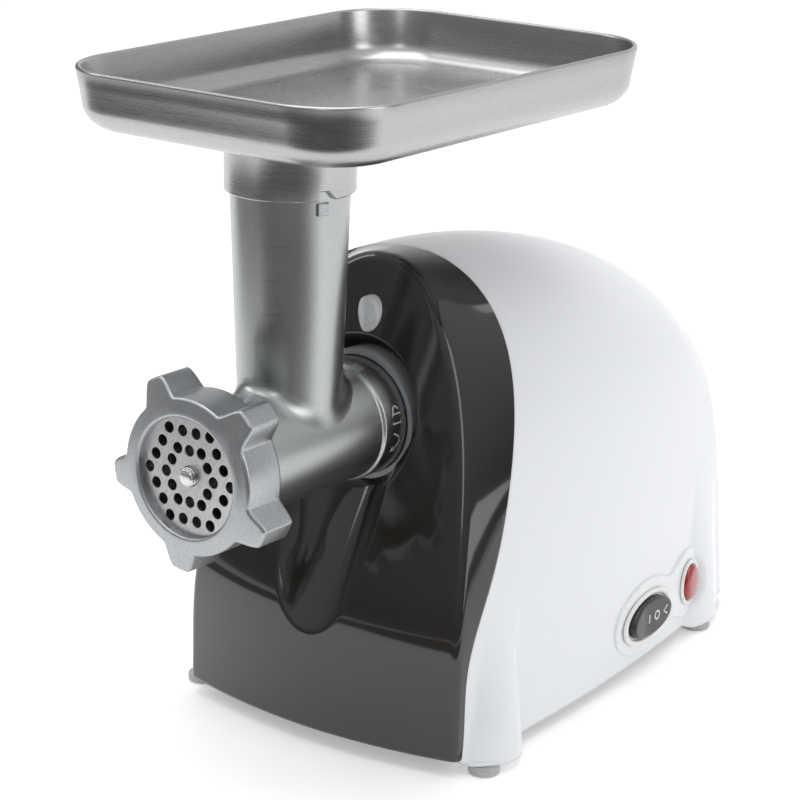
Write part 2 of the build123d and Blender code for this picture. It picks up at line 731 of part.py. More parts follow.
# ================================================================ socket, latch and release button
def make_socket():
    z = head_axis_z
    rear = case_front_y
    sleeve = along_y(socket_outer, socket_front_y, rear, 0, z)
    sleeve = sleeve + along_y(socket_outer + 9, rear - 4, rear, 0, z)
    sleeve = sleeve - along_y(socket_bore, socket_front_y - 1, rear + 1, 0, z)
    lip_front = collar_rear_y + 2.0
    lip_rear = neck_rear_y - lug_length - 0.4
    for angle in lug_angles:
        lip = plan_sector(socket_bore + 0.5, lip_front, lip_rear, angle, lug_half_angle)
        sleeve = sleeve + (lip - along_y(neck_radius + 0.4, lip_front - 1, lip_rear + 1, 0, z))
    half = tongue_width / 2 + 0.3
    sleeve = sleeve - block(-half, half, arm_y - 0.6, arm_y + arm_thickness + release_travel + 0.6,
                            z + tongue_low, z + socket_outer + 2)
    sleeve = sleeve - block(-half, half, socket_front_y - 1, arm_y + arm_thickness + release_travel + 0.6,
                            z + tongue_low - 0.3, z + tongue_low + tongue_thickness + 0.3)
    for angle in (35.0, 145.0, 215.0, 325.0):
        x, dz = polar(socket_outer + 4.8, angle)
        sleeve = sleeve - along_y(1.7, rear - 5, rear + 1, x, z + dz)
    keep("head_socket", sleeve)
    screws = []
    for angle in (35.0, 145.0, 215.0, 325.0):
        x, dz = polar(socket_outer + 4.8, angle)
        screw = along_y(1.6, rear - 4, rear + 3, x, z + dz) + along_y(3.0, rear - 6, rear - 4, x, z + dz)
        screws.append(screw)
    keep("socket_screws", Compound(children=screws))


release_travel = 4.0
tongue_width = 8.0
tongue_thickness = 1.8
tongue_low = neck_radius + 0.3      # above the head's axis
tongue_bite = 1.6                   # how far the tongue reaches into the collar
arm_thickness = 2.5
arm_y = release_y + front_wall + 3.0
spring_radius = 2.6
spring_wire = 0.4
spring_turns = 3
spring_z = head_axis_z + socket_outer + 4.6


def make_latch():
    z = head_axis_z
    half = tongue_width / 2
    tongue = block(-half, half, collar_rear_y - tongue_bite, arm_y + 1, z + tongue_low,
                   z + tongue_low + tongue_thickness)
    arm = block(-half, half, arm_y, arm_y + arm_thickness, z + tongue_low, release_z + 4)
    keep("latch_tongue", tongue + arm)
    rear = case_front_y - 4
    length = rear - arm_y - arm_thickness - release_travel - 0.1     # as short as when pressed
    coil = Helix(length / spring_turns, length - 2 * spring_wire, spring_radius)
    wire = Plane(origin=coil @ 0, x_dir=(1, 0, 0), z_dir=coil % 0) * Circle(spring_wire)
    spring = at_y(arm_y + arm_thickness + spring_wire, 0, spring_z) * sweep(wire, coil, is_frenet=True)
    keep("latch_spring", spring)


def make_release():
    cap = extrude(release_plane * oval(*release_size), release_proud)
    cap = cap + extrude(release_plane * oval(*release_size), -(front_wall + 2.0))
    crown = release_y - release_proud
    dish = Plane.XY.offset(release_z - 20) * make_face(Polyline(
        (-20, crown - 1), (20, crown - 1), (20, crown + 2.6), (1.5, crown), (-20, crown + 1.6), close=True))
    cap = cap - extrude(dish, 40)
    stem = block(-2.2, 2.2, release_y + front_wall, arm_y, release_z - 2.4, release_z + 2.4)
    keep("release_button", cap + stem)


# ================================================================ switch side
def local_box(plane, x0, x1, y0, y1, z0, z1):
    """Box in a plane's own directions."""
    size = Box(x1 - x0, y1 - y0, z1 - z0)
    return plane * Pos((x0 + x1) / 2, (y0 + y1) / 2, (z0 + z1) / 2) * size


def bezel(plane, size, opening, proud, deep):
    """Oval bezel with a flange outside and a sleeve through the wall."""
    ring = extrude(plane * oval(*size), proud)
    sleeve = (size[0] - 2 * sleeve_inset, size[1] - 2 * sleeve_inset)
    ring = ring + extrude(plane * oval(*sleeve), -deep)
    hole = extrude(plane * oval(*opening), deep + 2, both=True)
    return ring - hole


rocker_pivot_depth = 5.0
rocker_pin = 1.4
valley_depth = 2.2
terminal_half = (2.4, 0.4)


def make_rocker():
    plane = rocker_plane.offset(seat_proud)
    length, height = rocker_size
    gap = rocker_gap
    pivot = plane.offset(-rocker_pivot_depth)
    swing = Plane(origin=pivot.origin, x_dir=pivot.x_dir, z_dir=pivot.y_dir)
    bore = height + 2 * gap + 2.2
    ring = bezel(plane, rocker_bezel_size, (length + 2 * gap, height + 2 * gap), 1.2, sleeve_deep)
    keep("rocker_bezel", ring - swing * Cylinder(rocker_pin + bush_gap, bore))
    prism = extrude(pivot * oval(length, height), rocker_pivot_depth + rocker_proud)
    prism = prism + extrude(pivot * oval(length, height), -1.0)
    drum = extrude(swing * Circle(length / 2), height, both=True)
    top = rocker_pivot_depth + rocker_proud
    crease = -length / 6
    facets = Polyline((-length, -top - 3), (length, -top - 3), (length, -top),
                      (crease, -top + valley_depth), (-length, -top), close=True)
    valley = swing * make_face(facets)
    cap = (prism & drum) - extrude(valley, height, both=True)
    keep("rocker_cap", cap + swing * Cylinder(rocker_pin, bore - 0.4))
    flange = extrude(plane.offset(-sleeve_deep) * oval(rocker_bezel_size[0] - 2 * sleeve_inset,
                                                       rocker_bezel_size[1] - 2 * sleeve_inset), -1.5)
    body = flange + local_box(plane, -13, 13, -8.0, 8.0, -26, -sleeve_deep - 1)
    for i in (-1, 0, 1):
        body = body + local_box(plane, i * 8 - terminal_half[0], i * 8 + terminal_half[0],
                                -terminal_half[1], terminal_half[1], -30, -26)
    keep("rocker_switch_body", body)


def make_lamp_button():
    plane = lamp_plane.offset(seat_proud)
    wide, high = lamp_size
    ring = bezel(plane, lamp_bezel_size, (wide + 0.6, high + 0.6), 1.2, sleeve_deep)
    keep("button_bezel", ring)
    cap = extrude(plane * oval(wide, high), lamp_proud) + extrude(plane * oval(wide, high), -5.0)
    keep("red_button", cap + local_box(plane, -2, 2, -3, 3, -10.4, -5))
    flange = extrude(plane.offset(-sleeve_deep) * oval(lamp_bezel_size[0] - 2 * sleeve_inset,
                                                       lamp_bezel_size[1] - 2 * sleeve_inset), -1.5)
    body = flange + local_box(plane, -7, 7, -8, 8, -20, -sleeve_deep - 1)
    body = body - local_box(plane, -2.2, 2.2, -3.2, 3.2, -16, -sleeve_deep + 1)
    for i in (-1, 1):
        body = body + local_box(plane, -0.4, 0.4, i * 5 - 2.0, i * 5 + 2.0, -24, -20)
    keep("button_switch_body", body)


def make_inlet():
    outer_y = rear_y + housing_size(rear_seam_foot_y)[2] * inlet_z
    bush = along_y(inlet_hole - 0.1, outer_y - 14, rear_y, inlet_x, inlet_z)
    bush = bush + along_y(inlet_hole + 2.2, outer_y - 1.2, rear_y, inlet_x, inlet_z)
    bush = bush + along_y(inlet_hole + 1.6, outer_y - 6.5, outer_y - 4.2, inlet_x, inlet_z)
    bush = bush - parts["rear_cover"]
    keep("cord_inlet", bush - along_y(cord_bore, outer_y - 15, rear_y + 1, inlet_x, inlet_z))


# ================================================================ gear train
def gear_centres():
    """Axes of the output, second and first gears and the motor, as (x, z) points."""
    reach = []
    for (small, large), module in zip(stage_teeth, stage_module):
        reach.append(module * (small + large) / 2)
    motor = (0.0, motor_axis_z)
    output = (0.0, head_axis_z)
    swing = 42.0
    second = (-reach[2] * sin(radians(swing)), head_axis_z - reach[2] * cos(radians(swing)))
    gap_x = second[0] - motor[0]
    gap_z = second[1] - motor[1]
    gap = sqrt(gap_x ** 2 + gap_z ** 2)
    along = (reach[0] ** 2 - reach[1] ** 2 + gap ** 2) / (2 * gap)
    off = sqrt(max(0.0, reach[0] ** 2 - along ** 2))
    ux, uz = gap_x / gap, gap_z / gap
    first = (motor[0] + along * ux - off * uz, motor[1] + along * uz + off * ux)
    return output, second, first, motor


output_spot, second_spot, first_spot, motor_spot = gear_centres()


def gear(teeth, module, width, y0, spot, turn, bore):
    """Spur gear along Y; turn is the angle of one tooth's middle, in degrees, from +X towards +Z."""
    pitch = module * teeth / 2
    tip = pitch + 0.8 * module
    root = pitch - 1.15 * module
    step = 360 / teeth
    root_half = 0.31 * step
    tip_half = 0.13 * step
    points = []
    for i in range(teeth):
        middle = turn + i * step
        for radius, angle in ((root, middle - root_half), (tip, middle - tip_half),
                              (tip, middle + tip_half), (root, middle + root_half)):
            x, z = polar(radius, angle)
            points.append((x, -z))
    blank = extrude(at_y(y0, spot[0], spot[1]) * make_face(Polyline(*points, close=True)), width)
    return blank - along_y(bore, y0 - 1, y0 + width + 1, spot[0], spot[1])


def heading(a, b):
    """Direction from one axis to another, in degrees from +X towards +Z."""
    return degrees(atan2(b[1] - a[1], b[0] - a[0]))


def mesh_turn(driver_turn, driver_teeth, driver_spot, teeth, spot):
    """Tooth angle of a gear that puts a gap where the driver's tooth pattern points at it."""
    to_gear = heading(driver_spot, spot)
    phase = (to_gear - driver_turn) / (360 / driver_teeth)
    return to_gear + 180 + (phase + 0.5) * (360 / teeth)


def make_gears():
    (p1, g1), (p2, g2), (p3, g3) = stage_teeth
    m1, m2, m3 = stage_module
    w1, w2, w3 = stage_width
    pinion_turn = 0.0
    first_turn = mesh_turn(pinion_turn, p1, motor_spot, g1, first_spot)
    pinion2_turn = 0.0
    second_turn = mesh_turn(pinion2_turn, p2, first_spot, g2, second_spot)
    pinion3_turn = 0.0
    output_turn = mesh_turn(pinion3_turn, p3, second_spot, g3, output_spot)
    bore = axle_radius + bush_gap
    keep("motor_pinion", gear(p1, m1, w1 + 2, stage1_y - 1, motor_spot, pinion_turn, nose_radius))
    wheel = gear(g1, m1, w1, stage1_y, first_spot, first_turn, bore)
    wheel = wheel + (along_y(7.0, stage1_y + w1, case_rear_y - 0.3, *first_spot)
                     - along_y(bore, stage1_y, case_rear_y, *first_spot))
    keep("first_gear", wheel)
    keep("first_pinion", gear(p2, m2, w2 + stage_gap, stage2_y, first_spot, pinion2_turn, bore))
    keep("second_gear", gear(g2, m2, w2, stage2_y, second_spot, second_turn, bore))
    keep("second_pinion", gear(p3, m3, w3 + stage_gap, stage3_y, second_spot, pinion3_turn, bore))
    keep("output_gear", gear(g3, m3, w3, stage3_y, output_spot, output_turn, output_shaft_radius))
    hub_y = stage3_y + w3
    x, z = output_spot
    shaft = along_y(output_head_radius, neck_rear_y + 0.8, stage3_y, x, z)
    shaft = shaft + along_y(output_shaft_radius, stage3_y, hub_y + 2, x, z)
    shaft = shaft + along_y(output_tail_radius, hub_y + 2, cover_rear_y - 0.5, x, z)
    pocket = at_y(neck_rear_y, x, z) * RegularPolygon((hex_flats + hex_gap) / 2, 6, major_radius=False)
    shaft = shaft - extrude(pocket, drive_reach + 0.8)
    keep("output_shaft", shaft)
    for name, spot in (("second_axle", second_spot), ("first_axle", first_spot)):
        keep(name, along_y(axle_radius, case_front_y + 1, cover_rear_y - 1, *spot))


output_tail_radius = 7.0
bush_wall = 3.5


def case_outline(margin):
    """Rounded outline round the gears, in the sketch plane across Y."""
    sizes = ((output_spot, 34.5), (second_spot, 27.0), (first_spot, 26.5), (motor_spot, 13.0))
    circles = Sketch()
    for (x, z), radius in sizes:
        circles += Pos(x, -z) * Circle(radius + margin)
    return make_hull(circles.edges())


def make_gearbox():
    plane = at_y(case_front_y)
    case = extrude(plane * case_outline(3.0), case_rear_y - case_front_y)
    room = extrude(at_y(case_front_y + case_wall) * case_outline(0.0), case_rear_y - case_front_y)
    case = case - room
    x, z = output_spot
    case = case - along_y(output_head_radius + bush_wall, case_front_y - 1,
                          case_front_y + case_wall + 1, x, z)
    for spot in (first_spot, second_spot):
        case = case + along_y(axle_radius + 2.5, case_front_y + case_wall, stage3_y - 0.3, *spot)
        case = case - along_y(axle_radius, case_front_y + 1, stage3_y, *spot)
    boss_y = case_front_y + case_wall
    for angle in (35.0, 145.0, 215.0, 325.0):
        dx, dz = polar(socket_outer + 4.8, angle)
        case = case - along_y(1.6, case_front_y - 1, case_front_y + 3, x + dx, z + dz)
    for side in (1, -1):
        lx = side * 11.0
        leg = block(lx - 4, lx + 4, boss_y - 2, boss_y + 8, base_top, motor_spot[1] - 8)
        case = case + (leg - room)
    keep("gearbox_case", case)
    cover = extrude(at_y(case_rear_y) * case_outline(3.0), cover_rear_y - case_rear_y)
    cover = cover - along_y(bearing_radius, case_rear_y - 1, cover_rear_y + 1, *motor_spot)
    cover = cover - along_y(output_tail_radius + bush_wall, case_rear_y - 1, cover_rear_y + 1, x, z)
    for spot in (first_spot, second_spot):
        cover = cover - along_y(axle_radius, case_rear_y - 1, cover_rear_y - 1, *spot)
    keep("gearbox_cover", cover)
    front = along_y(output_head_radius + bush_wall, case_front_y - 1.5, stage3_y - 0.3, x, z)
    keep("front_bush", front - along_y(output_head_radius + bush_gap, case_front_y - 2, stage3_y, x, z))
    rear = along_y(output_tail_radius + bush_wall, case_rear_y - 0.5, cover_rear_y, x, z)
    bore = along_y(output_tail_radius + bush_gap, case_rear_y - 1, cover_rear_y + 1, x, z)
    keep("rear_bush", rear - bore)


# ================================================================ motor
def make_motor_frame():
    x, z = motor_spot
    pillar = 3.5
    px = stator_half_width - 7.0
    pz = stator_half_height - 6.0
    spots = [(sx * px, z + sz * pz) for sx in (1, -1) for sz in (1, -1)]
    foot = mount_top + mount_rubber
    front = block(-34, 34, cover_rear_y, bracket_rear_y, foot, z + stator_half_height)
    for cx, cz in spots:
        front = front + along_y(pillar, bracket_rear_y, stator_front_y, cx, cz)
    front = front + along_y(bearing_radius + 3, bracket_rear_y, front_bearing_y + bearing_width, x, z)
    front = front - along_y(bearing_radius, front_bearing_y, stator_front_y, x, z)
    front = front - along_y(shaft_radius + 2, cover_rear_y - 1, front_bearing_y + 1, x, z)
    keep("motor_front_bracket", front)
    rear = block(-34, 34, rear_bracket_y, rear_bracket_y + case_wall, foot, z + stator_half_height)
    for cx, cz in spots:
        rear = rear + along_y(pillar, stator_rear_y, rear_bracket_y, cx, cz)
    for side in (1, -1):
        inner, outer = sorted((side * brush_outer, side * (brush_outer + 4)))
        rear = rear + block(inner, outer, stator_rear_y, rear_bracket_y + case_wall, z - 9, z + 9)
    rear = rear + along_y(bearing_radius + 3, rear_bearing_y, rear_bracket_y, x, z)
    rear = rear - along_y(bearing_radius, rear_bearing_y - 1, rear_bracket_y, x, z)
    rear = rear - along_y(shaft_radius + 1.5, rear_bracket_y - 1, rear_bracket_y + case_wall + 1, x, z)
    keep("motor_rear_bracket", rear)
    mounts = []
    for mx, my, top in mount_spots():
        mounts.append(block(mx - 6, mx + 6, my - 2.0, my + 2.0, top, top + mount_rubber))
    keep("motor_mounts", Compound(children=mounts))
    bearings = []
    for y in (front_bearing_y, rear_bearing_y):
        ring = along_y(bearing_radius, y, y + bearing_width, x, z)
        bearings.append(ring - along_y(shaft_radius + bush_gap, y - 1, y + bearing_width + 1, x, z))
    keep("motor_bearings", Compound(children=bearings))


brush_outer = 31.0


def make_stator():
    x, z = motor_spot
    w, h = stator_half_width, stator_half_height
    profile = at_y(stator_front_y, x, z) * RectangleRounded(2 * w, 2 * h, 14)
    core = extrude(profile, stator_length)
    core = core - along_y(armature_radius + air_gap, stator_front_y - 1, stator_rear_y + 1, x, z)
    window = 14.0
    for side in (1, -1):
        for tilt in (1, -1):
            cx = side * (armature_radius + 3.0)
            cz = z + tilt * window
            slot = block(cx - 5, cx + 5, stator_front_y - 1, stator_rear_y + 1, cz - 5, cz + 5)
            core = core - slot
    keep("motor_stator", core)
    coils = []
    near = armature_radius + 3.0 - 5.0
    far = armature_radius + 3.0 + 5.0
    bore = along_y(armature_radius + air_gap, stator_front_y - 20, stator_rear_y + 20, x, z)
    for tilt in (1, -1):
        z0, z1 = sorted((z + tilt * (window - 5), z + tilt * (window + 5)))
        coil_y0, coil_y1 = stator_front_y - coil_overhang, stator_rear_y + coil_overhang
        coil = block(near, far, coil_y0, coil_y1, z0, z1) + block(-far, -near, coil_y0, coil_y1, z0, z1)
        coil = coil - bore
        z0, z1 = sorted((z + tilt * (window + 3), z + tilt * (window + 9.5)))
        for y0 in (stator_front_y - coil_overhang, stator_rear_y + 2):
            coil = coil + block(-far, far, y0, y0 + coil_overhang - 2, z0, z1)
        coils.append(coil)
    keep("field_coils", Compound(children=coils))


def make_rotor():
    x, z = motor_spot
    shaft = along_y(nose_radius, stage1_y - 1, front_bearing_y - 1, x, z)
    shaft = shaft + along_y(shaft_radius, front_bearing_y - 1, shaft_rear_y, x, z)
    keep("rotor_shaft", shaft)
    core = along_y(armature_radius, stator_front_y + 1, stator_rear_y - 1, x, z)
    for i in range(12):
        sx, sz = polar(armature_radius - 1.2, 30 * i)
        core = core - along_y(1.6, stator_front_y, stator_rear_y, x + sx, z + sz)
    core = core - along_y(shaft_radius, stator_front_y, stator_rear_y, x, z)
    keep("armature_core", core)
    turns = []
    for y0, y1 in ((stator_front_y - 6, stator_front_y + 1), (stator_rear_y - 1, stator_rear_y + 6)):
        bundle = along_y(armature_radius - 4.5, y0, y1, x, z)
        turns.append(bundle - along_y(shaft_radius, y0 - 1, y1 + 1, x, z))
    keep("armature_winding", Compound(children=turns))
    ring = along_y(commutator_radius, commutator_y, commutator_y + commutator_length, x, z)
    ring = ring - along_y(shaft_radius, commutator_y - 1, commutator_y + commutator_length + 1, x, z)
    for i in range(12):
        sx, sz = polar(commutator_radius, 15 + 30 * i)
        ring = ring - along_y(0.5, commutator_y + 2, commutator_y + commutator_length + 1, x + sx, z + sz)
    keep("commutator", ring)
    fan = along_y(9.0, fan_y, fan_y + fan_width, x, z) + along_y(fan_radius, fan_y, fan_y + 2, x, z)
    for i in range(11):
        vane = block(8.5, fan_radius - 1, fan_y + 1.5, fan_y + fan_width, -0.8, 0.8)
        fan = fan + Pos(x, 0, z) * Rot(0, i * 360 / 11, 0) * vane
    fan = fan - along_y(shaft_radius, fan_y - 1, fan_y + fan_width + 1, x, z)
    keep("cooling_fan", fan)


def make_brushes():
    x, z = motor_spot
    y = commutator_y + commutator_length / 2 + 1
    size = 3.0
    brushes = []
    holders = []
    for side in (1, -1):
        inner, outer = sorted((side * (commutator_radius + 0.15), side * (brush_outer - 6)))
        brushes.append(block(inner, outer, y - size, y + size, z - size, z + size))
        inner, outer = sorted((side * (commutator_radius + 3), side * brush_outer))
        tube = block(inner, outer, y - size - 1, y + size + 1, z - size - 1, z + size + 1)
        reach = sorted((side * (commutator_radius + 2), side * (brush_outer - 1)))
        holders.append(tube - block(reach[0], reach[1], y - size, y + size, z - size, z + size))
    keep("carbon_brushes", Compound(children=brushes))
    keep("brush_holders", Compound(children=holders))


# ================================================================ build and write
make_housing()
make_front_panel()
make_rear_cover()
make_base()
make_feet()
make_base_screws()
make_head()
make_plate()
make_ring_nut()
make_auger()
make_blade()
make_tray()
make_socket()
make_latch()
make_release()
make_rocker()
make_lamp_button()
make_inlet()
make_gears()
make_gearbox()
make_motor_frame()
make_stator()
make_rotor()
make_brushes()

os.makedirs("parts", exist_ok=True)
for name, shape in parts.items():
    export_step(shape, f"parts/{name}.step")
print(len(parts), "nodes written")
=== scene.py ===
# %% [markdown]
# # An electric meat grinder, built round its CAD frame
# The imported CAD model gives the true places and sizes. This notebook rebuilds the surfaces that are
# seen, with soft edges and fillets, gives every piece a procedural finish, and leaves the hidden
# motor and gears as the CAD solids. All sizes below are in millimetres, and one helper turns them
# into metres when a mesh is made.

# %% Load the frame
import json
import math

import bmesh
import bpy
import numpy as np
from mathutils import Matrix, Vector


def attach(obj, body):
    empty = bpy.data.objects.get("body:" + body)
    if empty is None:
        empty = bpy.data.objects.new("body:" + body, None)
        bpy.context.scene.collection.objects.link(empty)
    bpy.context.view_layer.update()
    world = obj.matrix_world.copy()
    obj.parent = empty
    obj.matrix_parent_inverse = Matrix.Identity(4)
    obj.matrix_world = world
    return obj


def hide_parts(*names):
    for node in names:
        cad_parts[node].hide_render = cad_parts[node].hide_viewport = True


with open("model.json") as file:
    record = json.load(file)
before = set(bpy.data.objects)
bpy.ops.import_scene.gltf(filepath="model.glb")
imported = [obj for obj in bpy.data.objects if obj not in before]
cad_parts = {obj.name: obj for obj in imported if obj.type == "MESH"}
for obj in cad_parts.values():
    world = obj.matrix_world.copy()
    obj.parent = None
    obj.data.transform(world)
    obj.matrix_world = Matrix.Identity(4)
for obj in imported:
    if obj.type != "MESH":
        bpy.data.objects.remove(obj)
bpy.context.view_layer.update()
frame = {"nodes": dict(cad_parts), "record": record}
nodes = frame["nodes"]
slot_of = {s["node"]: s["material_slot"] for s in frame["record"]["subparts"]}

# %% [markdown]
# ## Sizes of the real machine
# The shell, the head and the tray follow a few rules, so the same numbers shape the CAD and the
# surfaces here. The head and the ring nut turn about one axis along Y, the tube stands on Z.

# %% Shared sizes
MM = 0.001
FRONT, REAR = -166.0, 166.0
AXIS_Z = 136.0
FACE_FOOT, SEAM_FOOT, REAR_FOOT = -92.6, -79.0, 159.0
SEAM_LEAN = 0.27
BODY_HIGH, BODY_HALF = 202.0, 72.0
FACE_HALF, FACE_LEAN, FACE_BEND, FACE_BOW = 71.0, 0.347, 57.0, 263.0
SKIRT, BOOT_FLOOR = 6.0, 4.0
TUBE_Y = -102.4
TUBE_R, TUBE_WALL, TUBE_TOP = 23.8, 2.4, 260.5
COLLAR_LOW = 239.3
KEY_ANGLE = -19.0
BARREL_R, BARREL_BORE, BAYONET_R = 23.85, 20.5, 25.1
ROCKER_AT, ROCKER_SIZE, ROCKER_BEZEL = (64.5, 26.0), (36.8, 17.5), (47.0, 24.0)
BUTTON_AT, BUTTON_SIZE, BUTTON_BEZEL = (110.0, 27.5), (14.5, 16.5), (20.0, 21.5)
PAD_PROUD, SEAT = 1.2, 1.5
SHELL_WALL, PANEL_WALL, REAR_WALL = 2.2, 1.6, 2.0

# %% [markdown]
# ## Helpers for meshes
# Most pieces here are loops of points joined into skins. A skin that closes on itself both ways is
# a shell with an inside and an outside, so its normals can be worked out safely.


# %% Mesh helpers
def skin(loops, wrap_rows=False, wrap_columns=True):
    """Vertices and quads for loops of equal length: (rows, columns, 3)."""
    grid = np.asarray(loops, float)
    rows, cols = grid.shape[:2]
    faces = []
    for i in range(rows if wrap_rows else rows - 1):
        a, b = i * cols, ((i + 1) % rows) * cols
        for j in range(cols if wrap_columns else cols - 1):
            k = (j + 1) % cols
            faces.append((a + j, a + k, b + k, b + j))
    return grid.reshape(-1, 3), faces


def merged(*skins):
    """Several vertex and face lists as one."""
    verts, faces, base = [], [], 0
    for v, f in skins:
        verts.append(np.asarray(v, float))
        faces += [tuple(i + base for i in face) for face in f]
        base += len(v)
    return np.concatenate(verts), faces


def make_mesh(name, verts, faces, weld=0.02, recalc=True, angle=35.0):
    """Blender mesh object in metres, welded, with smooth faces and sharp creases."""
    mesh = bpy.data.meshes.new(name)
    mesh.from_pydata((np.asarray(verts) * MM).tolist(), [], faces)
    work = bmesh.new()
    work.from_mesh(mesh)
    if weld:
        bmesh.ops.remove_doubles(work, verts=work.verts, dist=weld * MM)
    if recalc:
        bmesh.ops.recalc_face_normals(work, faces=work.faces)
    work.to_mesh(mesh)
    work.free()
    mesh.shade_smooth()
    mesh.set_sharp_from_angle(angle=math.radians(angle))
    piece = bpy.data.objects.new(name, mesh)
    bpy.context.scene.collection.objects.link(piece)
    return piece


def give_wall(piece, thickness):
    """Thicken a skin inwards to a moulding's wall, in millimetres."""
    wall = piece.modifiers.new("wall", "SOLIDIFY")
    wall.thickness = thickness * MM
    wall.offset = -1.0


def finish_piece(piece, body, slot, material, *hidden):
    """Give the piece its material and its body, and hide the CAD nodes it stands for; the slot is not used."""
    piece.data.materials.clear()
    piece.data.materials.append(material)
    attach(piece, body)
    if hidden:
        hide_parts(*hidden)
    print(piece.name, len(piece.data.polygons), "faces")
    return piece


def lathe_y(profile, count):
    """Loops round the head's axis for (y, radius) points."""
    turn = np.linspace(0, 2 * math.pi, count, endpoint=False)
    return [np.stack([r * np.cos(turn), np.full(count, y), AXIS_Z + r * np.sin(turn)], 1)
            for y, r in profile]


def fan(loop, centre):
    """Triangles that close a loop to a point."""
    count = len(loop)
    verts = np.vstack([loop, [centre]])
    return verts, [(i, (i + 1) % count, count) for i in range(count)]


def smooth_step(t):
    t = np.clip(t, 0, 1)
    return t * t * (3 - 2 * t)


# %% [markdown]
# ## Shader groups
# Real surfaces are never quite even. Three small groups make that: a cloudy value for roughness, a
# fine grain for cast metal and moulded plastic, and long brushed lines for the rolled tray. Each
# material places them with its own numbers.

# %% Shader groups
FLOAT, VECTOR = "NodeSocketFloat", "NodeSocketVector"


def shader_group(name, inputs, outputs):
    tree = bpy.data.node_groups.new(name, "ShaderNodeTree")
    for label, kind, value in inputs:
        socket = tree.interface.new_socket(name=label, in_out="INPUT", socket_type=kind)
        if value is not None:
            socket.default_value = value
    for label, kind in outputs:
        tree.interface.new_socket(name=label, in_out="OUTPUT", socket_type=kind)
    return tree, tree.nodes.new("NodeGroupInput"), tree.nodes.new("NodeGroupOutput")


def noise_texture(tree, **settings):
    """A noise texture with the named sockets set."""
    node = tree.nodes.new("ShaderNodeTexNoise")
    for label, value in settings.items():
        node.inputs[label].default_value = value
    return node


def stretched(tree, low, high):
    """A node that stretches the values from low to high over a whole range."""
    node = tree.nodes.new("ShaderNodeMapRange")
    node.inputs["From Min"].default_value = low
    node.inputs["From Max"].default_value = high
    return node


def make_cloud():
    tree, given, out = shader_group(
        "cloudy_value",
        [("Vector", VECTOR, None), ("Scale", FLOAT, 40.0), ("Low", FLOAT, 0.2), ("High", FLOAT, 0.3)],
        [("Value", FLOAT)])
    noise = noise_texture(tree, Detail=4.0)
    spread = stretched(tree, 0.35, 0.65)
    tree.links.new(given.outputs["Vector"], noise.inputs["Vector"])
    tree.links.new(given.outputs["Scale"], noise.inputs["Scale"])
    tree.links.new(noise.outputs["Fac"], spread.inputs["Value"])
    tree.links.new(given.outputs["Low"], spread.inputs["To Min"])
    tree.links.new(given.outputs["High"], spread.inputs["To Max"])
    tree.links.new(spread.outputs["Result"], out.inputs["Value"])
    return tree


def make_grain():
    tree, given, out = shader_group(
        "fine_grain",
        [("Vector", VECTOR, None), ("Scale", FLOAT, 900.0)],
        [("Height", FLOAT), ("Mask", FLOAT)])
    noise = noise_texture(tree, Detail=2.0, Roughness=0.6)
    mask = stretched(tree, 0.4, 0.6)
    tree.links.new(given.outputs["Vector"], noise.inputs["Vector"])
    tree.links.new(given.outputs["Scale"], noise.inputs["Scale"])
    tree.links.new(noise.outputs["Fac"], out.inputs["Height"])
    tree.links.new(noise.outputs["Fac"], mask.inputs["Value"])
    tree.links.new(mask.outputs["Result"], out.inputs["Mask"])
    return tree


def make_lines():
    tree, given, out = shader_group(
        "brushed_lines",
        [("Vector", VECTOR, None), ("Stretch", VECTOR, (60.0, 60.0, 2500.0)), ("Low", FLOAT, 0.2),
         ("High", FLOAT, 0.4)],
        [("Value", FLOAT), ("Height", FLOAT)])
    scale = tree.nodes.new("ShaderNodeVectorMath")
    scale.operation = "MULTIPLY"
    noise = noise_texture(tree, Scale=1.0, Detail=3.0, Roughness=0.65)
    spread = stretched(tree, 0.3, 0.7)
    tree.links.new(given.outputs["Vector"], scale.inputs[0])
    tree.links.new(given.outputs["Stretch"], scale.inputs[1])
    tree.links.new(scale.outputs["Vector"], noise.inputs["Vector"])
    tree.links.new(noise.outputs["Fac"], spread.inputs["Value"])
    tree.links.new(given.outputs["Low"], spread.inputs["To Min"])
    tree.links.new(given.outputs["High"], spread.inputs["To Max"])
    tree.links.new(spread.outputs["Result"], out.inputs["Value"])
    tree.links.new(noise.outputs["Fac"], out.inputs["Height"])
    return tree


CLOUD, GRAIN, LINES = make_cloud(), make_grain(), make_lines()
print("shader groups:", CLOUD.name, GRAIN.name, LINES.name)

# %% [markdown]
# ## Finishes
# One function makes each finish from a colour, a range of roughness and a grain. What is the same all
# over a surface is set straight on the shader, and only what changes comes through a group.


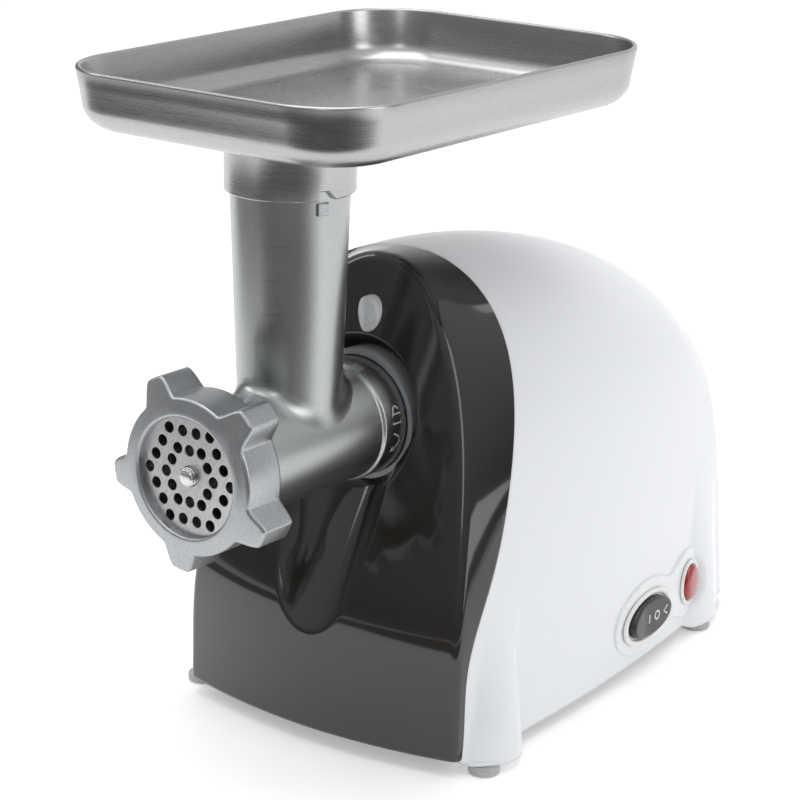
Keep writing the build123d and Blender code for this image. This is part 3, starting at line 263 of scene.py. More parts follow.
# %% Finishes
def finish(name, colour, rough, metallic=0.0, grain=900.0, bump=0.05, depth=0.0001, coat=0.0, lines=None,
           cloud=40.0, second=None, **fixed):
    material = bpy.data.materials.new(name)
    material.use_nodes = True
    tree = material.node_tree
    shader = tree.nodes["Principled BSDF"]
    shader.inputs["Metallic"].default_value = metallic
    shader.inputs["Coat Weight"].default_value = coat
    for label, value in fixed.items():
        shader.inputs[label.replace("_", " ")].default_value = value
    place = tree.nodes.new("ShaderNodeTexCoord")
    fine = tree.nodes.new("ShaderNodeGroup")
    fine.node_tree = GRAIN
    fine.inputs["Scale"].default_value = grain
    tree.links.new(place.outputs["Object"], fine.inputs["Vector"])
    source = tree.nodes.new("ShaderNodeGroup")
    source.node_tree = LINES if lines else CLOUD
    if lines:
        source.inputs["Stretch"].default_value = lines
    else:
        source.inputs["Scale"].default_value = cloud
    source.inputs["Low"].default_value = rough[0]
    source.inputs["High"].default_value = rough[1]
    tree.links.new(place.outputs["Object"], source.inputs["Vector"])
    tree.links.new(source.outputs["Value"], shader.inputs["Roughness"])
    mix = tree.nodes.new("ShaderNodeMix")
    mix.data_type = "RGBA"
    mix.inputs["A"].default_value = (*colour, 1.0)
    mix.inputs["B"].default_value = (*(second or [c * 0.92 for c in colour]), 1.0)
    tree.links.new(fine.outputs["Mask"], mix.inputs["Factor"])
    tree.links.new(mix.outputs["Result"], shader.inputs["Base Color"])
    height = tree.nodes.new("ShaderNodeBump")
    height.inputs["Strength"].default_value = bump
    height.inputs["Distance"].default_value = depth
    tree.links.new((source if lines else fine).outputs["Height"], height.inputs["Height"])
    tree.links.new(height.outputs["Normal"], shader.inputs["Normal"])
    return material


white_shell = finish("white_gloss", (0.76, 0.77, 0.785), (0.23, 0.25), grain=300, bump=0.0, coat=0.15,
                     second=(0.757, 0.767, 0.782), cloud=12.0)
dark_shell = finish("brown_black_gloss", (0.021, 0.018, 0.015), (0.09, 0.11), grain=260, bump=0.0, coat=0.5,
                    second=(0.0205, 0.0175, 0.0145), cloud=12.0)
cast_metal = finish("bead_blasted_aluminium", (0.47, 0.48, 0.49), (0.32, 0.42), 1.0, grain=1500, bump=0.32,
                    depth=0.00012, second=(0.40, 0.41, 0.42))
turned_metal = finish("turned_aluminium", (0.46, 0.47, 0.47), (0.27, 0.35), 1.0, bump=0.05, depth=0.00003,
                    lines=(60.0, 60.0, 4200.0), grain=1600, second=(0.43, 0.44, 0.44))
rolled_sheet = finish("brushed_aluminium", (0.45, 0.45, 0.45), (0.24, 0.32), 1.0, bump=0.06, depth=0.00003,
                      lines=(45.0, 45.0, 4200.0), grain=1700, second=(0.44, 0.44, 0.44))
ground_steel = finish("ground_steel", (0.52, 0.52, 0.52), (0.24, 0.36), 1.0, grain=1300, bump=0.15,
                      second=(0.42, 0.42, 0.43))
bright_steel = finish("bright_steel", (0.70, 0.70, 0.70), (0.12, 0.22), 1.0, grain=900, bump=0.04)
cream = finish("cream_plastic", (0.80, 0.80, 0.755), (0.25, 0.34), grain=500, bump=0.03)
black_satin = finish("rocker_black", (0.022, 0.023, 0.024), (0.26, 0.36), grain=900, bump=0.05)
red_gloss = finish("red_gloss", (0.36, 0.010, 0.012), (0.08, 0.12), grain=300, bump=0.02, coat=0.6)
mark_white = finish("printed_white", (0.75, 0.75, 0.75), (0.4, 0.5), grain=900, bump=0.02)
button_grey = finish("pale_grey_plastic", (0.72, 0.735, 0.75), (0.22, 0.32), grain=500, bump=0.03)
foot_rubber = finish("grey_rubber", (0.42, 0.43, 0.42), (0.42, 0.55), grain=700, bump=0.1)
black_rubber = finish("black_rubber", (0.02, 0.02, 0.02), (0.5, 0.65), grain=700, bump=0.15)
grey_moulding = finish("grey_moulding", (0.30, 0.31, 0.32), (0.36, 0.5), grain=800, bump=0.12)
dark_moulding = finish("dark_moulding", (0.022, 0.022, 0.024), (0.35, 0.5), grain=800, bump=0.12)
nylon = finish("nylon", (0.76, 0.74, 0.68), (0.35, 0.5), grain=600, bump=0.08)
copper_wire = finish("enamelled_copper", (0.60, 0.26, 0.12), (0.2, 0.34), 0.9, bump=0.3, depth=0.0002,
                     lines=(2400.0, 60.0, 2400.0))
bronze = finish("sintered_bronze", (0.56, 0.38, 0.2), (0.3, 0.45), 1.0, grain=1500, bump=0.2)
carbon = finish("carbon", (0.02, 0.02, 0.02), (0.45, 0.6), grain=1500, bump=0.2)
lamination = finish("laminated_iron", (0.28, 0.28, 0.30), (0.35, 0.5), 0.9, bump=0.4, depth=0.0002,
                    lines=(40.0, 2200.0, 40.0))
mark_pale = finish("engraved_mark", (0.86, 0.86, 0.86), (0.3, 0.4), 0.4, grain=900, bump=0.02)

by_slot = {
    "white_plastic": white_shell, "black_plastic": dark_shell, "grey_plastic": grey_moulding,
    "dark_plastic": dark_moulding, "cream_plastic": cream, "rocker_black": black_satin,
    "red_plastic": red_gloss, "nylon": nylon, "foot_rubber": foot_rubber, "black_rubber": black_rubber,
    "cast_aluminium": cast_metal, "brushed_aluminium": rolled_sheet, "steel": ground_steel,
    "copper": copper_wire, "bronze": bronze, "carbon": carbon, "laminated_iron": lamination,
    "die_cast": cast_metal}
for name, node in nodes.items():
    node.data.materials.clear()
    node.data.materials.append(by_slot[slot_of[name]])
print(len(bpy.data.materials), "materials")

# %% [markdown]
# ## The housing's rule
# Every cross-section of the housing is the same arch, leaning a little, with a width and a height
# that change smoothly from the front seam to the back. The rule is written once and used for the
# shell, the front panel, the rear cover and everything that sits on the side.


# %% Arch and side rules
def section(foot):
    t = (foot - SEAM_FOOT) / (REAR_FOOT - SEAM_FOOT)
    tail = np.maximum(t, 0) ** 7
    return BODY_HALF + 13 * t - 31 * t * t, BODY_HIGH - 35 * t * t - 14 * tail, SEAM_LEAN - 0.40 * t


def housing_reach(share):
    return np.sqrt(np.maximum(0, 1 - share ** 5.8))


def softly(t, blend):
    """0 below nought, t above it, with a rounded bend between."""
    return (t + np.sqrt(t * t + blend * blend)) / 2


def face_reach(share):
    return np.sqrt(np.maximum(0, 1 - 1.27 * softly(share - 0.262, 0.05) - 0.0597 * share ** 20))


def arch(half, high, reach, low, count):
    """Points (x, z) from the right foot over the crown to the left foot, evenly spaced."""
    share = np.sin(np.linspace(math.asin(min(1.0, low / high)), math.pi / 2, 900))
    x, z = half * reach(share), high * share
    x, z = np.concatenate([x, -x[::-1][1:]]), np.concatenate([z, z[::-1][1:]])
    run = np.concatenate([[0], np.cumsum(np.hypot(np.diff(x), np.diff(z)))])
    even = np.linspace(0, run[-1], count)
    return np.interp(even, run, x), np.interp(even, run, z)


def side_x(y, z):
    """Half width of the housing at a station and height."""
    foot = np.asarray(y, float)
    for _ in range(30):
        foot = y - section(foot)[2] * z
    half, high, _lean = section(foot)
    return half * housing_reach(z / high)


def face_y(x, z):
    """The bowed front face: upright at the foot, then leaning back above a soft bend."""
    return FACE_FOOT + FACE_LEAN * softly(z - FACE_BEND, 12.0) + FACE_BOW - np.sqrt(FACE_BOW ** 2 - x ** 2)


def seam_y(z):
    """Line between the front panel and the housing, drawn forward a little low down."""
    return SEAM_FOOT + SEAM_LEAN * z - 9.0 * np.exp(-((z - 48.0) / 30.0) ** 2)


def side_frame(spot):
    """Origin, direction along the side and outward normal at a (y, z) spot."""
    y, z = spot
    slope = float(side_x(y + 4, z) - side_x(y - 4, z)) / 8
    normal = np.array([1.0, -slope, 0.0]) / math.hypot(1, slope)
    along = np.array([slope, 1.0, 0.0]) / math.hypot(1, slope)
    return np.array([float(side_x(y, z)), y, z]), along, normal


print("half width at the rocker", round(float(side_x(*ROCKER_AT)), 1), "mm")

# %% [markdown]
# ## Housing shell
# The white shell is one smooth skin over the arch rule. Its four boots are moulded in, so the skin is
# pushed outwards low down, fading to nothing higher up, and kept clear of the button's bezel. A
# Solidify modifier gives it the thickness of a moulding.

# %% Housing shell
BOOTS = [(-60.0, 18.0, 12.5, 78.0, 9.0), (128.0, 20.0, 7.0, 92.0, 4.0)]   # y, half length, swell, top, drift
BEZEL_MARGIN = 0.6


def boot_swell(y, z):
    total = np.zeros_like(y)
    for centre, half, swell, top, drift in BOOTS:
        rise = np.clip(z / top, 0, 1)
        across = np.clip(1 - ((y - centre - drift * rise) / (half * (1 - 0.45 * rise))) ** 2, 0, 1) ** 0.85
        total = total + swell * across * (1 - smooth_step(rise)) ** 1.25
    return total


def bezel_clear(y, z):
    """0 inside the button's bezel, 1 well clear of it."""
    half_wide, half_high = BUTTON_BEZEL[0] / 2 + BEZEL_MARGIN, BUTTON_BEZEL[1] / 2 + BEZEL_MARGIN
    far = np.hypot((y - BUTTON_AT[0]) / half_wide, (z - BUTTON_AT[1]) / half_high)
    return smooth_step((far - 1.0) / 0.28)


STATIONS, ROUND = 150, 330
lip = [(0.0, 1.1), (0.25, 0.45), (0.7, 0.12), (1.4, 0.0)]
feet_y = [(SEAM_FOOT + a, b) for a, b in lip]
feet_y += [(f, 0.0) for f in np.linspace(SEAM_FOOT + 2.2, REAR_FOOT - 2.2, STATIONS)]
feet_y += [(REAR_FOOT - a, b) for a, b in lip[::-1]]
rows = []
for foot, inset in feet_y:
    half, high, lean = section(foot)
    x, z = arch(half - inset, high - inset, housing_reach, SKIRT, ROUND)
    drawn = np.clip(1 - (foot - SEAM_FOOT) / 60.0, 0, 1) ** 2
    y = foot + lean * z + (seam_y(z) - SEAM_FOOT - SEAM_LEAN * z) * drawn
    push = boot_swell(y, z) * np.where(x > 0, bezel_clear(y, z), 1.0)
    low = np.clip(boot_swell(y, np.zeros_like(z)) / 4, 0, 1)
    z = z - (SKIRT - BOOT_FLOOR) * low * np.clip(1 - (z - SKIRT) / 10, 0, 1)
    rows.append(np.stack([x + np.sign(x) * push, y, z], 1))
verts, faces = skin(rows, wrap_columns=False)
housing = make_mesh("housing_shell", verts, faces, weld=0.0, angle=60)
give_wall(housing, SHELL_WALL)
outward = housing.data.polygons[len(housing.data.polygons) // 2]
if outward.normal.z < 0:
    housing.data.flip_normals()
finish_piece(housing, "body", "white_plastic", white_shell, "main_housing")

# %% [markdown]
# The boots are closed underneath by flat soles, which the rubber feet are set in. They are four
# ellipses with a soft edge, each lying just inside the swell of the shell.

# %% Boot soles
soles = []
turn = np.linspace(0, 2 * math.pi, 64, endpoint=False)
SOLE_EDGE = [(0.0, 6.0), (0.97, 6.0), (1.0, 5.7), (1.0, 4.5), (0.97, 4.15), (0.9, 4.05), (0.0, 4.05)]
for (bx, by, rx, ry) in ((70.0, -60.0, 13.6, 16.6), (57.0, 128.0, 8.0, 18.5)):
    for side in (1, -1):
        loops = []
        for share, z in SOLE_EDGE:
            loops.append(np.stack([side * (bx + rx * share * np.cos(turn)), by + ry * share * np.sin(turn),
                                   np.full(len(turn), z)], 1))
        soles.append(skin(loops))
verts, faces = merged(*soles)
finish_piece(make_mesh("boot_soles", verts, faces), "body", "white_plastic", white_shell)

# %% [markdown]
# ## Raised pad round the controls
# Round the rocker and the red button the shell has a raised pad like a figure of eight. Its outline is
# a level line of two ellipses that melt together, which gives the waist without a corner.

# %% Switch pad
PAD_LOBES = [(ROCKER_AT, (28.5, 17.0)), (BUTTON_AT, (15.2, 15.8))]
PAD_MIDDLE, PAD_EDGE = (88.0, 27.0), 1.7


def pad_level(y, z):
    """Over 1 inside the outline of the two lobes, under 1 outside."""
    return sum(math.exp(-2.7 * (math.hypot((y - c[0]) / r[0], (z - c[1]) / r[1]) - 1))
               for c, r in PAD_LOBES)


def pad_outline(count):
    """Evenly spaced points round the two lobes, each found by halving along a ray."""
    points = []
    for k in range(count):
        dy, dz = math.cos(2 * math.pi * k / count), math.sin(2 * math.pi * k / count)
        near, far = 2.0, 80.0
        for _ in range(40):
            mid = (near + far) / 2
            if pad_level(PAD_MIDDLE[0] + mid * dy, PAD_MIDDLE[1] + mid * dz) > 1:
                near = mid
            else:
                far = mid
        points.append((PAD_MIDDLE[0] + near * dy, PAD_MIDDLE[1] + near * dz))
    points = np.array(points)
    closed = np.vstack([points, points[:1]])
    run = np.concatenate([[0], np.cumsum(np.hypot(*np.diff(closed, axis=0).T))])
    even = np.linspace(0, run[-1], count, endpoint=False)
    return np.stack([np.interp(even, run, closed[:, 0]), np.interp(even, run, closed[:, 1])], 1)


def inward(outline, distance):
    """The outline moved in along its own normals."""
    ahead, behind = np.roll(outline, -1, 0), np.roll(outline, 1, 0)
    run = ahead - behind
    run = run / np.linalg.norm(run, axis=1)[:, None]
    return outline + distance * np.stack([-run[:, 1], run[:, 0]], 1)


def on_side(flat, proud):
    """(y, z) points laid on the housing's side, standing proud of it."""
    y, z = flat[:, 0], flat[:, 1]
    return np.stack([side_x(y, z) + proud, y, z], 1)


outline = pad_outline(320)
pad_rows = []
for step_in, proud in ((0.0, -1.5), (0.0, 0.02), (0.12, 0.5), (0.45, 0.95), (1.0, 1.15),
                       (PAD_EDGE, PAD_PROUD)):
    pad_rows.append(on_side(inward(outline, step_in), proud))
core = inward(outline, PAD_EDGE)
spine = np.stack([np.clip(core[:, 0], 48.0, 112.0), np.full(len(core), PAD_MIDDLE[1])], 1)
for share in (0.15, 0.3, 0.5, 0.7, 0.85, 1.0):
    pad_rows.append(on_side(core + (spine - core) * share, PAD_PROUD))
verts, faces = skin(pad_rows)
finish_piece(make_mesh("switch_pad", verts, faces, weld=0.01, angle=50), "body", "white_plastic", white_shell)

# %% [markdown]
# ## Bezels, rocker and red button
# Each control sits in an oval bezel. The rocker has three positions, so its top is two facets that
# meet in a crease off its middle, and carries plain symbols: a bar, a ring and a pointer.


# %% Bezels
UPRIGHT = np.array([0, 0, 1.0])


def local_loop(place, size, rise, tilt=None):
    """Oval on the side's own plane, with a rise that may depend on the place along it."""
    origin, along, normal = place
    turn = np.linspace(0, 2 * math.pi, 96, endpoint=False)
    u, v = size[0] / 2 * np.cos(turn), size[1] / 2 * np.sin(turn)
    height = np.full(len(turn), rise, float) if tilt is None else tilt(u) + rise
    return origin + u[:, None] * along + v[:, None] * UPRIGHT + height[:, None] * normal


def wider(oval, by):
    """Both axes of an oval with a margin all round."""
    return oval[0] + 2 * by, oval[1] + 2 * by


def bezel(name, spot, size, opening):
    """Rounded ring on the side, from its buried outer wall over the rim to its inner wall."""
    place = side_frame(spot)
    steps = [(wider(size, -1.3), -6.0), (wider(size, -1.3), -0.1), (wider(size, -0.1), -0.05),
             (size, 0.35), (wider(size, -0.25), 0.8), (wider(size, -0.8), 1.05),
             (wider(opening, 0.9), 1.05), (wider(opening, 0.3), 0.85), (opening, 0.3), (opening, -6.0)]
    verts, faces = skin([local_loop(place, oval, SEAT + rise) for oval, rise in steps], wrap_rows=True)
    return make_mesh(name, verts, faces, angle=50)


finish_piece(bezel("rocker_surround", ROCKER_AT, ROCKER_BEZEL, (39.8, 18.9)), "body", "cream_plastic", cream,
             "rocker_bezel")
finish_piece(bezel("button_surround", BUTTON_AT, BUTTON_BEZEL, (15.1, 17.1)), "body", "cream_plastic", cream,
             "button_bezel")

# %% Rocker cap
CREASE, CREASE_RISE = -6.2, 2.4
LEFT_SLOPE, RIGHT_SLOPE, SHARPNESS = 0.105, 0.06, 6


def rocker_top(u):
    """Height of the cap's two facets over its seat, with a soft crease."""
    left = CREASE_RISE + (CREASE - u) * LEFT_SLOPE
    right = CREASE_RISE + (u - CREASE) * RIGHT_SLOPE
    return np.logaddexp(left * SHARPNESS, right * SHARPNESS) / SHARPNESS


place = side_frame(ROCKER_AT)
caps = []
for shrink, drop in ((0.0, -12.5), (0.0, -1.1), (0.25, -0.45), (0.8, -0.08), (1.4, 0.0)):
    size = (ROCKER_SIZE[0] - 2 * shrink - 0.4, ROCKER_SIZE[1] - 2 * shrink)
    if drop < -5:
        caps.append(local_loop(place, size, SEAT - 5.5))
    else:
        caps.append(local_loop(place, size, SEAT + drop, tilt=rocker_top))
for share in (0.85, 0.7, 0.55, 0.4, 0.25, 0.12, 0.02):
    size = ((ROCKER_SIZE[0] - 3.2) * share, (ROCKER_SIZE[1] - 2.8) * share)
    caps.append(local_loop(place, size, SEAT, tilt=rocker_top))
verts, faces = merged(skin(caps), fan(caps[-1], caps[-1].mean(0)), fan(caps[0], caps[0].mean(0)))
finish_piece(make_mesh("rocker_top", verts, faces, angle=50), "rocker", "rocker_black", black_satin,
             "rocker_cap")


# %% Rocker symbols
def ribbon(points, width, closed=False):
    """Left and right edges of a flat strip of the given width along (u, v) points."""
    line = np.array(points, float)
    ahead = np.roll(line, -1, 0) if closed else np.vstack([line[1:], line[-1:]])
    behind = np.roll(line, 1, 0) if closed else np.vstack([line[:1], line[:-1]])
    run = ahead - behind
    run = run / np.linalg.norm(run, axis=1)[:, None]
    out = np.stack([-run[:, 1], run[:, 0]], 1) * width / 2
    return line + out, line - out


def rocker_point(flat, lift):
    """(u, v) points on the rocker's two facets, lifted off them."""
    origin, along, normal = place
    u, v = flat[:, 0], flat[:, 1]
    height = SEAT + rocker_top(u) + lift
    return origin + u[:, None] * along + v[:, None] * UPRIGHT + height[:, None] * normal


ring_turn = np.linspace(0, 2 * math.pi, 28, endpoint=False)
symbols = [([(-2.6, -2.0), (-2.6, 0.0), (-2.6, 2.0)], False),
           ([(4.2 + 1.9 * math.cos(a), 1.9 * math.sin(a)) for a in ring_turn], True),
           ([(13.4, -2.0), (10.2, 0.0), (13.4, 2.0)], False)]
strips = []
for points, closed in symbols:
    left, right = ribbon(points, 0.75, closed)
    grid = np.stack([rocker_point(left, -0.2), rocker_point(left, 0.05), rocker_point(right, 0.05),
                     rocker_point(right, -0.2)], 1)
    strips.append(skin(grid, wrap_rows=closed))
verts, faces = merged(*strips)
finish_piece(make_mesh("rocker_symbols", verts, faces, angle=30), "rocker", "rocker_black", mark_white)

# %% Red button
place = side_frame(BUTTON_AT)
dome = []
for shrink, rise in ((0.0, -4.5), (0.0, 1.6), (0.2, 2.1), (0.7, 2.5), (1.4, 2.75), (2.6, 2.95), (4.2, 3.05),
                     (5.8, 3.1), (7.1, 3.1)):
    dome.append(local_loop(place, wider(BUTTON_SIZE, -shrink), SEAT + rise - 0.1))
verts, faces = merged(skin(dome), fan(dome[-1], dome[-1].mean(0)), fan(dome[0], dome[0].mean(0)))
finish_piece(make_mesh("red_push_button", verts, faces, angle=50), "push_button", "red_plastic", red_gloss,
             "red_button")

# %% [markdown]
# ## Front panel
# The dark panel is one skin from the seam, round a soft crease, over the bowed face. The face carries
# the scoop under the barrel and the funnel round the socket, which are depths added to it: the
# deepest of the three wins, with a small blend so that their edges catch the light.


# %% Front panel surface
SCOOP_HALF, SCOOP_DEEP, SCOOP_Z = 27.0, 26.0, 125.0
SCOOP_START, SCOOP_SLOPE = -72.0, 0.60
HOLE_R, FUNNEL_R, FUNNEL_DEEP = 28.1, 35.0, 9.0


def soft_max(a, b, blend):
    """The larger of two depths, rounded over where they cross."""
    return np.maximum(a, b) + np.maximum(blend - np.abs(a - b), 0) ** 2 / (4 * blend)


def panel_y(x, z):
    """Depth of the panel's front surface."""
    base = face_y(x, z)
    wide = np.clip(1 - (x / SCOOP_HALF) ** 2, 0, 1)
    scoop = SCOOP_START + (z - SCOOP_Z) * SCOOP_SLOPE + SCOOP_DEEP * np.sqrt(wide)
    scoop = scoop - np.maximum(np.abs(x) - SCOOP_HALF, 0) * 3 - np.maximum(z - 137, 0) * 3
    away = np.hypot(x, z - AXIS_Z)
    funnel = base + FUNNEL_DEEP * (1 - smooth_step((away - HOLE_R) / (FUNNEL_R - HOLE_R)) ** 0.9) - 0.8
    return soft_max(soft_max(base, scoop, 0.7), np.where(away < FUNNEL_R + 2, funnel, base - 9), 0.8)


ALONG = 440
seam_x, seam_z = arch(BODY_HALF, BODY_HIGH, housing_reach, SKIRT + 1.5, ALONG)
seam = np.stack([seam_x, seam_y(seam_z), seam_z], 1)
out_x, out_z = arch(FACE_HALF, BODY_HIGH, face_reach, SKIRT + 1.5, ALONG)
flat = np.stack([out_x, face_y(0.0, out_z) - 1.0, out_z], 1)
low_s, high_s = np.zeros(ALONG), np.ones(ALONG)
for _ in range(40):
    mid_s = (low_s + high_s) / 2
    spot = flat + mid_s[:, None] * (seam - flat)
    ahead = spot[:, 1] < face_y(spot[:, 0], spot[:, 2])
    low_s, high_s = np.where(ahead, mid_s, low_s), np.where(ahead, high_s, mid_s)
edge = flat + low_s[:, None] * (seam - flat)
goal_z = np.where(edge[:, 2] < 100, edge[:, 2] * 0.96,
                  96 + (AXIS_Z - 96) * smooth_step((edge[:, 2] - 100) / 102))
goal = np.stack([np.zeros(ALONG), goal_z], 1)


def toward(distance):
    """Point on the face this far in from the crease, towards the middle line."""
    run = goal - edge[:, [0, 2]]
    length = np.linalg.norm(run, axis=1)
    share = np.minimum(distance / np.maximum(length, 1e-6), 1)[:, None]
    spot = edge[:, [0, 2]] + run * share
    return np.stack([spot[:, 0], panel_y(spot[:, 0], spot[:, 1]), spot[:, 1]], 1)


CREASE_R = 3.2
band = edge - seam
band_length = np.maximum(np.linalg.norm(band, axis=1), 1e-6)[:, None]
unit = band / band_length
start_turn = edge - unit * np.minimum(CREASE_R, band_length * 0.45)
end_turn = toward(CREASE_R)
rows = [seam + np.array([0, 2.0, 0]) - 0.02 * (seam - [0, 0, 60]), seam]
for share in (0.08, 0.25, 0.45, 0.65, 0.85, 1.0):
    rows.append(seam + (start_turn - seam) * share)
for t in np.linspace(0, 1, 9)[1:]:
    rows.append((1 - t) ** 2 * start_turn + 2 * t * (1 - t) * edge + t ** 2 * end_turn)
reach_in = np.linalg.norm(goal - edge[:, [0, 2]], axis=1)
for share in np.linspace(0, 1, 88)[1:]:
    rows.append(toward(CREASE_R + np.maximum(reach_in - CREASE_R, 0.01) * share))
verts, faces = skin(rows, wrap_columns=False)
verts = np.asarray(verts)
middle = np.array([verts[list(f)][:, [0, 2]].mean(0) for f in faces])
keep_face = np.hypot(middle[:, 0], middle[:, 1] - AXIS_Z) > HOLE_R
faces = [f for f, k in zip(faces, keep_face) if k]
panel = make_mesh("front_panel_skin", verts, faces, weld=0.03, recalc=False, angle=55)

# %% [markdown]
# The hole for the socket is cleaned up by moving its ragged border onto the circle, and a short
# throat is drawn back from it. Then the skin gets its thickness.

# %% Socket hole and throat
work = bmesh.new()
work.from_mesh(panel.data)
rim = []
for rim_edge in work.edges:
    if len(rim_edge.link_faces) == 1:
        mid = (rim_edge.verts[0].co + rim_edge.verts[1].co) / 2 / MM
        if math.hypot(mid.x, mid.z - AXIS_Z) < HOLE_R + 4:
            rim.append(rim_edge)
for vertex in {v for e in rim for v in e.verts}:
    x, z = vertex.co.x / MM, vertex.co.z / MM - AXIS_Z
    far = math.hypot(x, z)
    x, z = x * HOLE_R / far, z * HOLE_R / far
    vertex.co = Vector((x, float(panel_y(np.array(x), np.array(z + AXIS_Z))), z + AXIS_Z)) * MM
for set_back in (1.5, 10.0):
    drawn = bmesh.ops.extrude_edge_only(work, edges=rim)
    rim = [g for g in drawn["geom"] if isinstance(g, bmesh.types.BMEdge) and len(g.link_faces) == 1]
    for vertex in [g for g in drawn["geom"] if isinstance(g, bmesh.types.BMVert)]:
        vertex.co.y += set_back * MM
bmesh.ops.recalc_face_normals(work, faces=work.faces)
work.faces.ensure_lookup_table()
lowest = min(work.faces, key=lambda f: f.calc_center_median().y)
if lowest.normal.y > 0:
    bmesh.ops.reverse_faces(work, faces=work.faces)
work.to_mesh(panel.data)
work.free()
panel.data.shade_smooth()
panel.data.set_sharp_from_angle(angle=math.radians(50))
give_wall(panel, PANEL_WALL)
finish_piece(panel, "body", "black_plastic", dark_shell, "front_panel")

# %% [markdown]
# ## Release button
# The oval button above the head is pressed to free it. It has a ridge down its face, with one facet
# turned to each side.

# %% Release button
RELEASE_Z, RELEASE_SIZE, RELEASE_PROUD = 178.0, (12.0, 15.0), 3.4
release_y = float(face_y(0.0, RELEASE_Z))
turn = np.linspace(0, 2 * math.pi, 72, endpoint=False)


def release_loop(shrink, back, flat_back=None):
    """Oval on the button's two facets, or flat at its hidden back."""
    x = (RELEASE_SIZE[0] / 2 - shrink) * np.cos(turn)
    z = (RELEASE_SIZE[1] / 2 - shrink) * np.sin(turn)
    y = release_y - RELEASE_PROUD + back + np.where(x > -1.0, (x + 1.0) * 0.10, (-1.0 - x) * 0.55)
    if flat_back is not None:
        y = np.full(len(turn), flat_back)
    return np.stack([x, y, RELEASE_Z + z], 1)


loops = [release_loop(0.0, 0, release_y + 4.5), release_loop(0.0, 0.9), release_loop(0.2, 0.35),
         release_loop(0.7, 0.05), release_loop(1.2, 0.0), release_loop(2.6, 0.0), release_loop(4.2, 0.0),
         release_loop(5.7, 0.0)]
verts, faces = merged(skin(loops), fan(loops[-1], loops[-1].mean(0)), fan(loops[0], loops[0].mean(0)))
finish_piece(make_mesh("release_cap", verts, faces, angle=40), "release", "cream_plastic", button_grey,
             "release_button")

# %% [markdown]
# ## Rear cover with air slots
# The back is a shallow dish. Its rim is a skin from the rear seam round a soft edge, and its flat has
# two rows of slots: perforations are a job for Geometry Nodes. The tree takes the outline as a closed
# run of edges, puts a rounded slot on each point of two lines, fills between the curves and gives the
# sheet its thickness.

# %% Geometry Nodes helpers
GEOMETRY, INTEGER, MATERIAL = "NodeSocketGeometry", "NodeSocketInt", "NodeSocketMaterial"


class NodeTree:
    """A Geometry Nodes tree with named inputs, built one node at a time."""

    def __init__(self, name, inputs):
        self.tree = bpy.data.node_groups.new(name, "GeometryNodeTree")
        self.tree.is_modifier = True
        face = self.tree.interface
        face.new_socket(name="Geometry", in_out="OUTPUT", socket_type=GEOMETRY)
        face.new_socket(name="Geometry", in_out="INPUT", socket_type=GEOMETRY)
        for label, kind in inputs:
            face.new_socket(name=label, in_out="INPUT", socket_type=kind)
        self.given = self.tree.nodes.new("NodeGroupInput").outputs
        self.out = self.tree.nodes.new("NodeGroupOutput").inputs

    def add(self, kind, values=(), **settings):
        node = self.tree.nodes.new(kind)
        for label, value in settings.items():
            setattr(node, label, value)
        for label, value in dict(values).items():
            socket = node.inputs[label]
            if isinstance(value, bpy.types.NodeSocket):
                self.tree.links.new(value, socket)
            else:
                socket.default_value = value
        return node

    def calc(self, operation, first, second):
        """Result of one piece of arithmetic on two values."""
        return self.add("ShaderNodeMath", {0: first, 1: second}, operation=operation).outputs[0]

    def circle(self, radius, sides):
        """A closed curve with this many points on a circle."""
        node = self.add("GeometryNodeCurvePrimitiveCircle", {"Radius": radius, "Resolution": sides})
        return node.outputs["Curve"]

    def on_points(self, line, shape):
        """The shape set on each point of the line, as real geometry."""
        placed = self.add("GeometryNodeInstanceOnPoints", {"Points": line, "Instance": shape})
        return self.add("GeometryNodeRealizeInstances", {"Geometry": placed.outputs["Instances"]}).outputs[0]

    def join(self, *sockets):
        node = self.tree.nodes.new("GeometryNodeJoinGeometry")
        for socket in sockets:
            self.tree.links.new(socket, node.inputs["Geometry"])
        return node.outputs["Geometry"]

    def sheet(self, curves, thickness):
        """Fill between closed curves and give the sheet a thickness along +Z."""
        filled = self.add("GeometryNodeFillCurve", {"Curve": curves}).outputs["Mesh"]
        raised = self.add("GeometryNodeExtrudeMesh",
                          {"Mesh": filled, "Offset Scale": thickness, "Individual": False})
        under = self.add("GeometryNodeFlipFaces", {"Mesh": filled}).outputs["Mesh"]
        both = self.join(raised.outputs["Mesh"], under)
        welded = self.add("GeometryNodeMergeByDistance", {"Geometry": both, "Distance": 0.000005})
        return welded.outputs["Geometry"]

    def end(self, geometry, material):
        """Real geometry with its material, as the tree's result."""
        real = self.add("GeometryNodeRealizeInstances", {"Geometry": geometry}).outputs["Geometry"]
        dressed = self.add("GeometryNodeSetMaterial", {"Geometry": real, "Material": material})
        self.tree.links.new(dressed.outputs["Geometry"], self.out["Geometry"])


def grown(name, base, nodes_tree, values):
    """A plain mesh object from a base mesh and a tree with its inputs set."""
    carrier = bpy.data.objects.new(name + "_base", base)
    bpy.context.scene.collection.objects.link(carrier)
    modifier = carrier.modifiers.new("grow", "NODES")
    modifier.node_group = nodes_tree.tree
    given = {i.name: i.identifier for i in nodes_tree.tree.interface.items_tree if i.in_out == "INPUT"}
    for label, value in values.items():
        modifier[given[label]] = value
    bpy.context.view_layer.update()
    ready = carrier.evaluated_get(bpy.context.evaluated_depsgraph_get())
    mesh = bpy.data.meshes.new_from_object(ready)
    bpy.data.objects.remove(carrier)
    mesh.name = name
    piece = bpy.data.objects.new(name, mesh)
    bpy.context.scene.collection.objects.link(piece)
    return piece


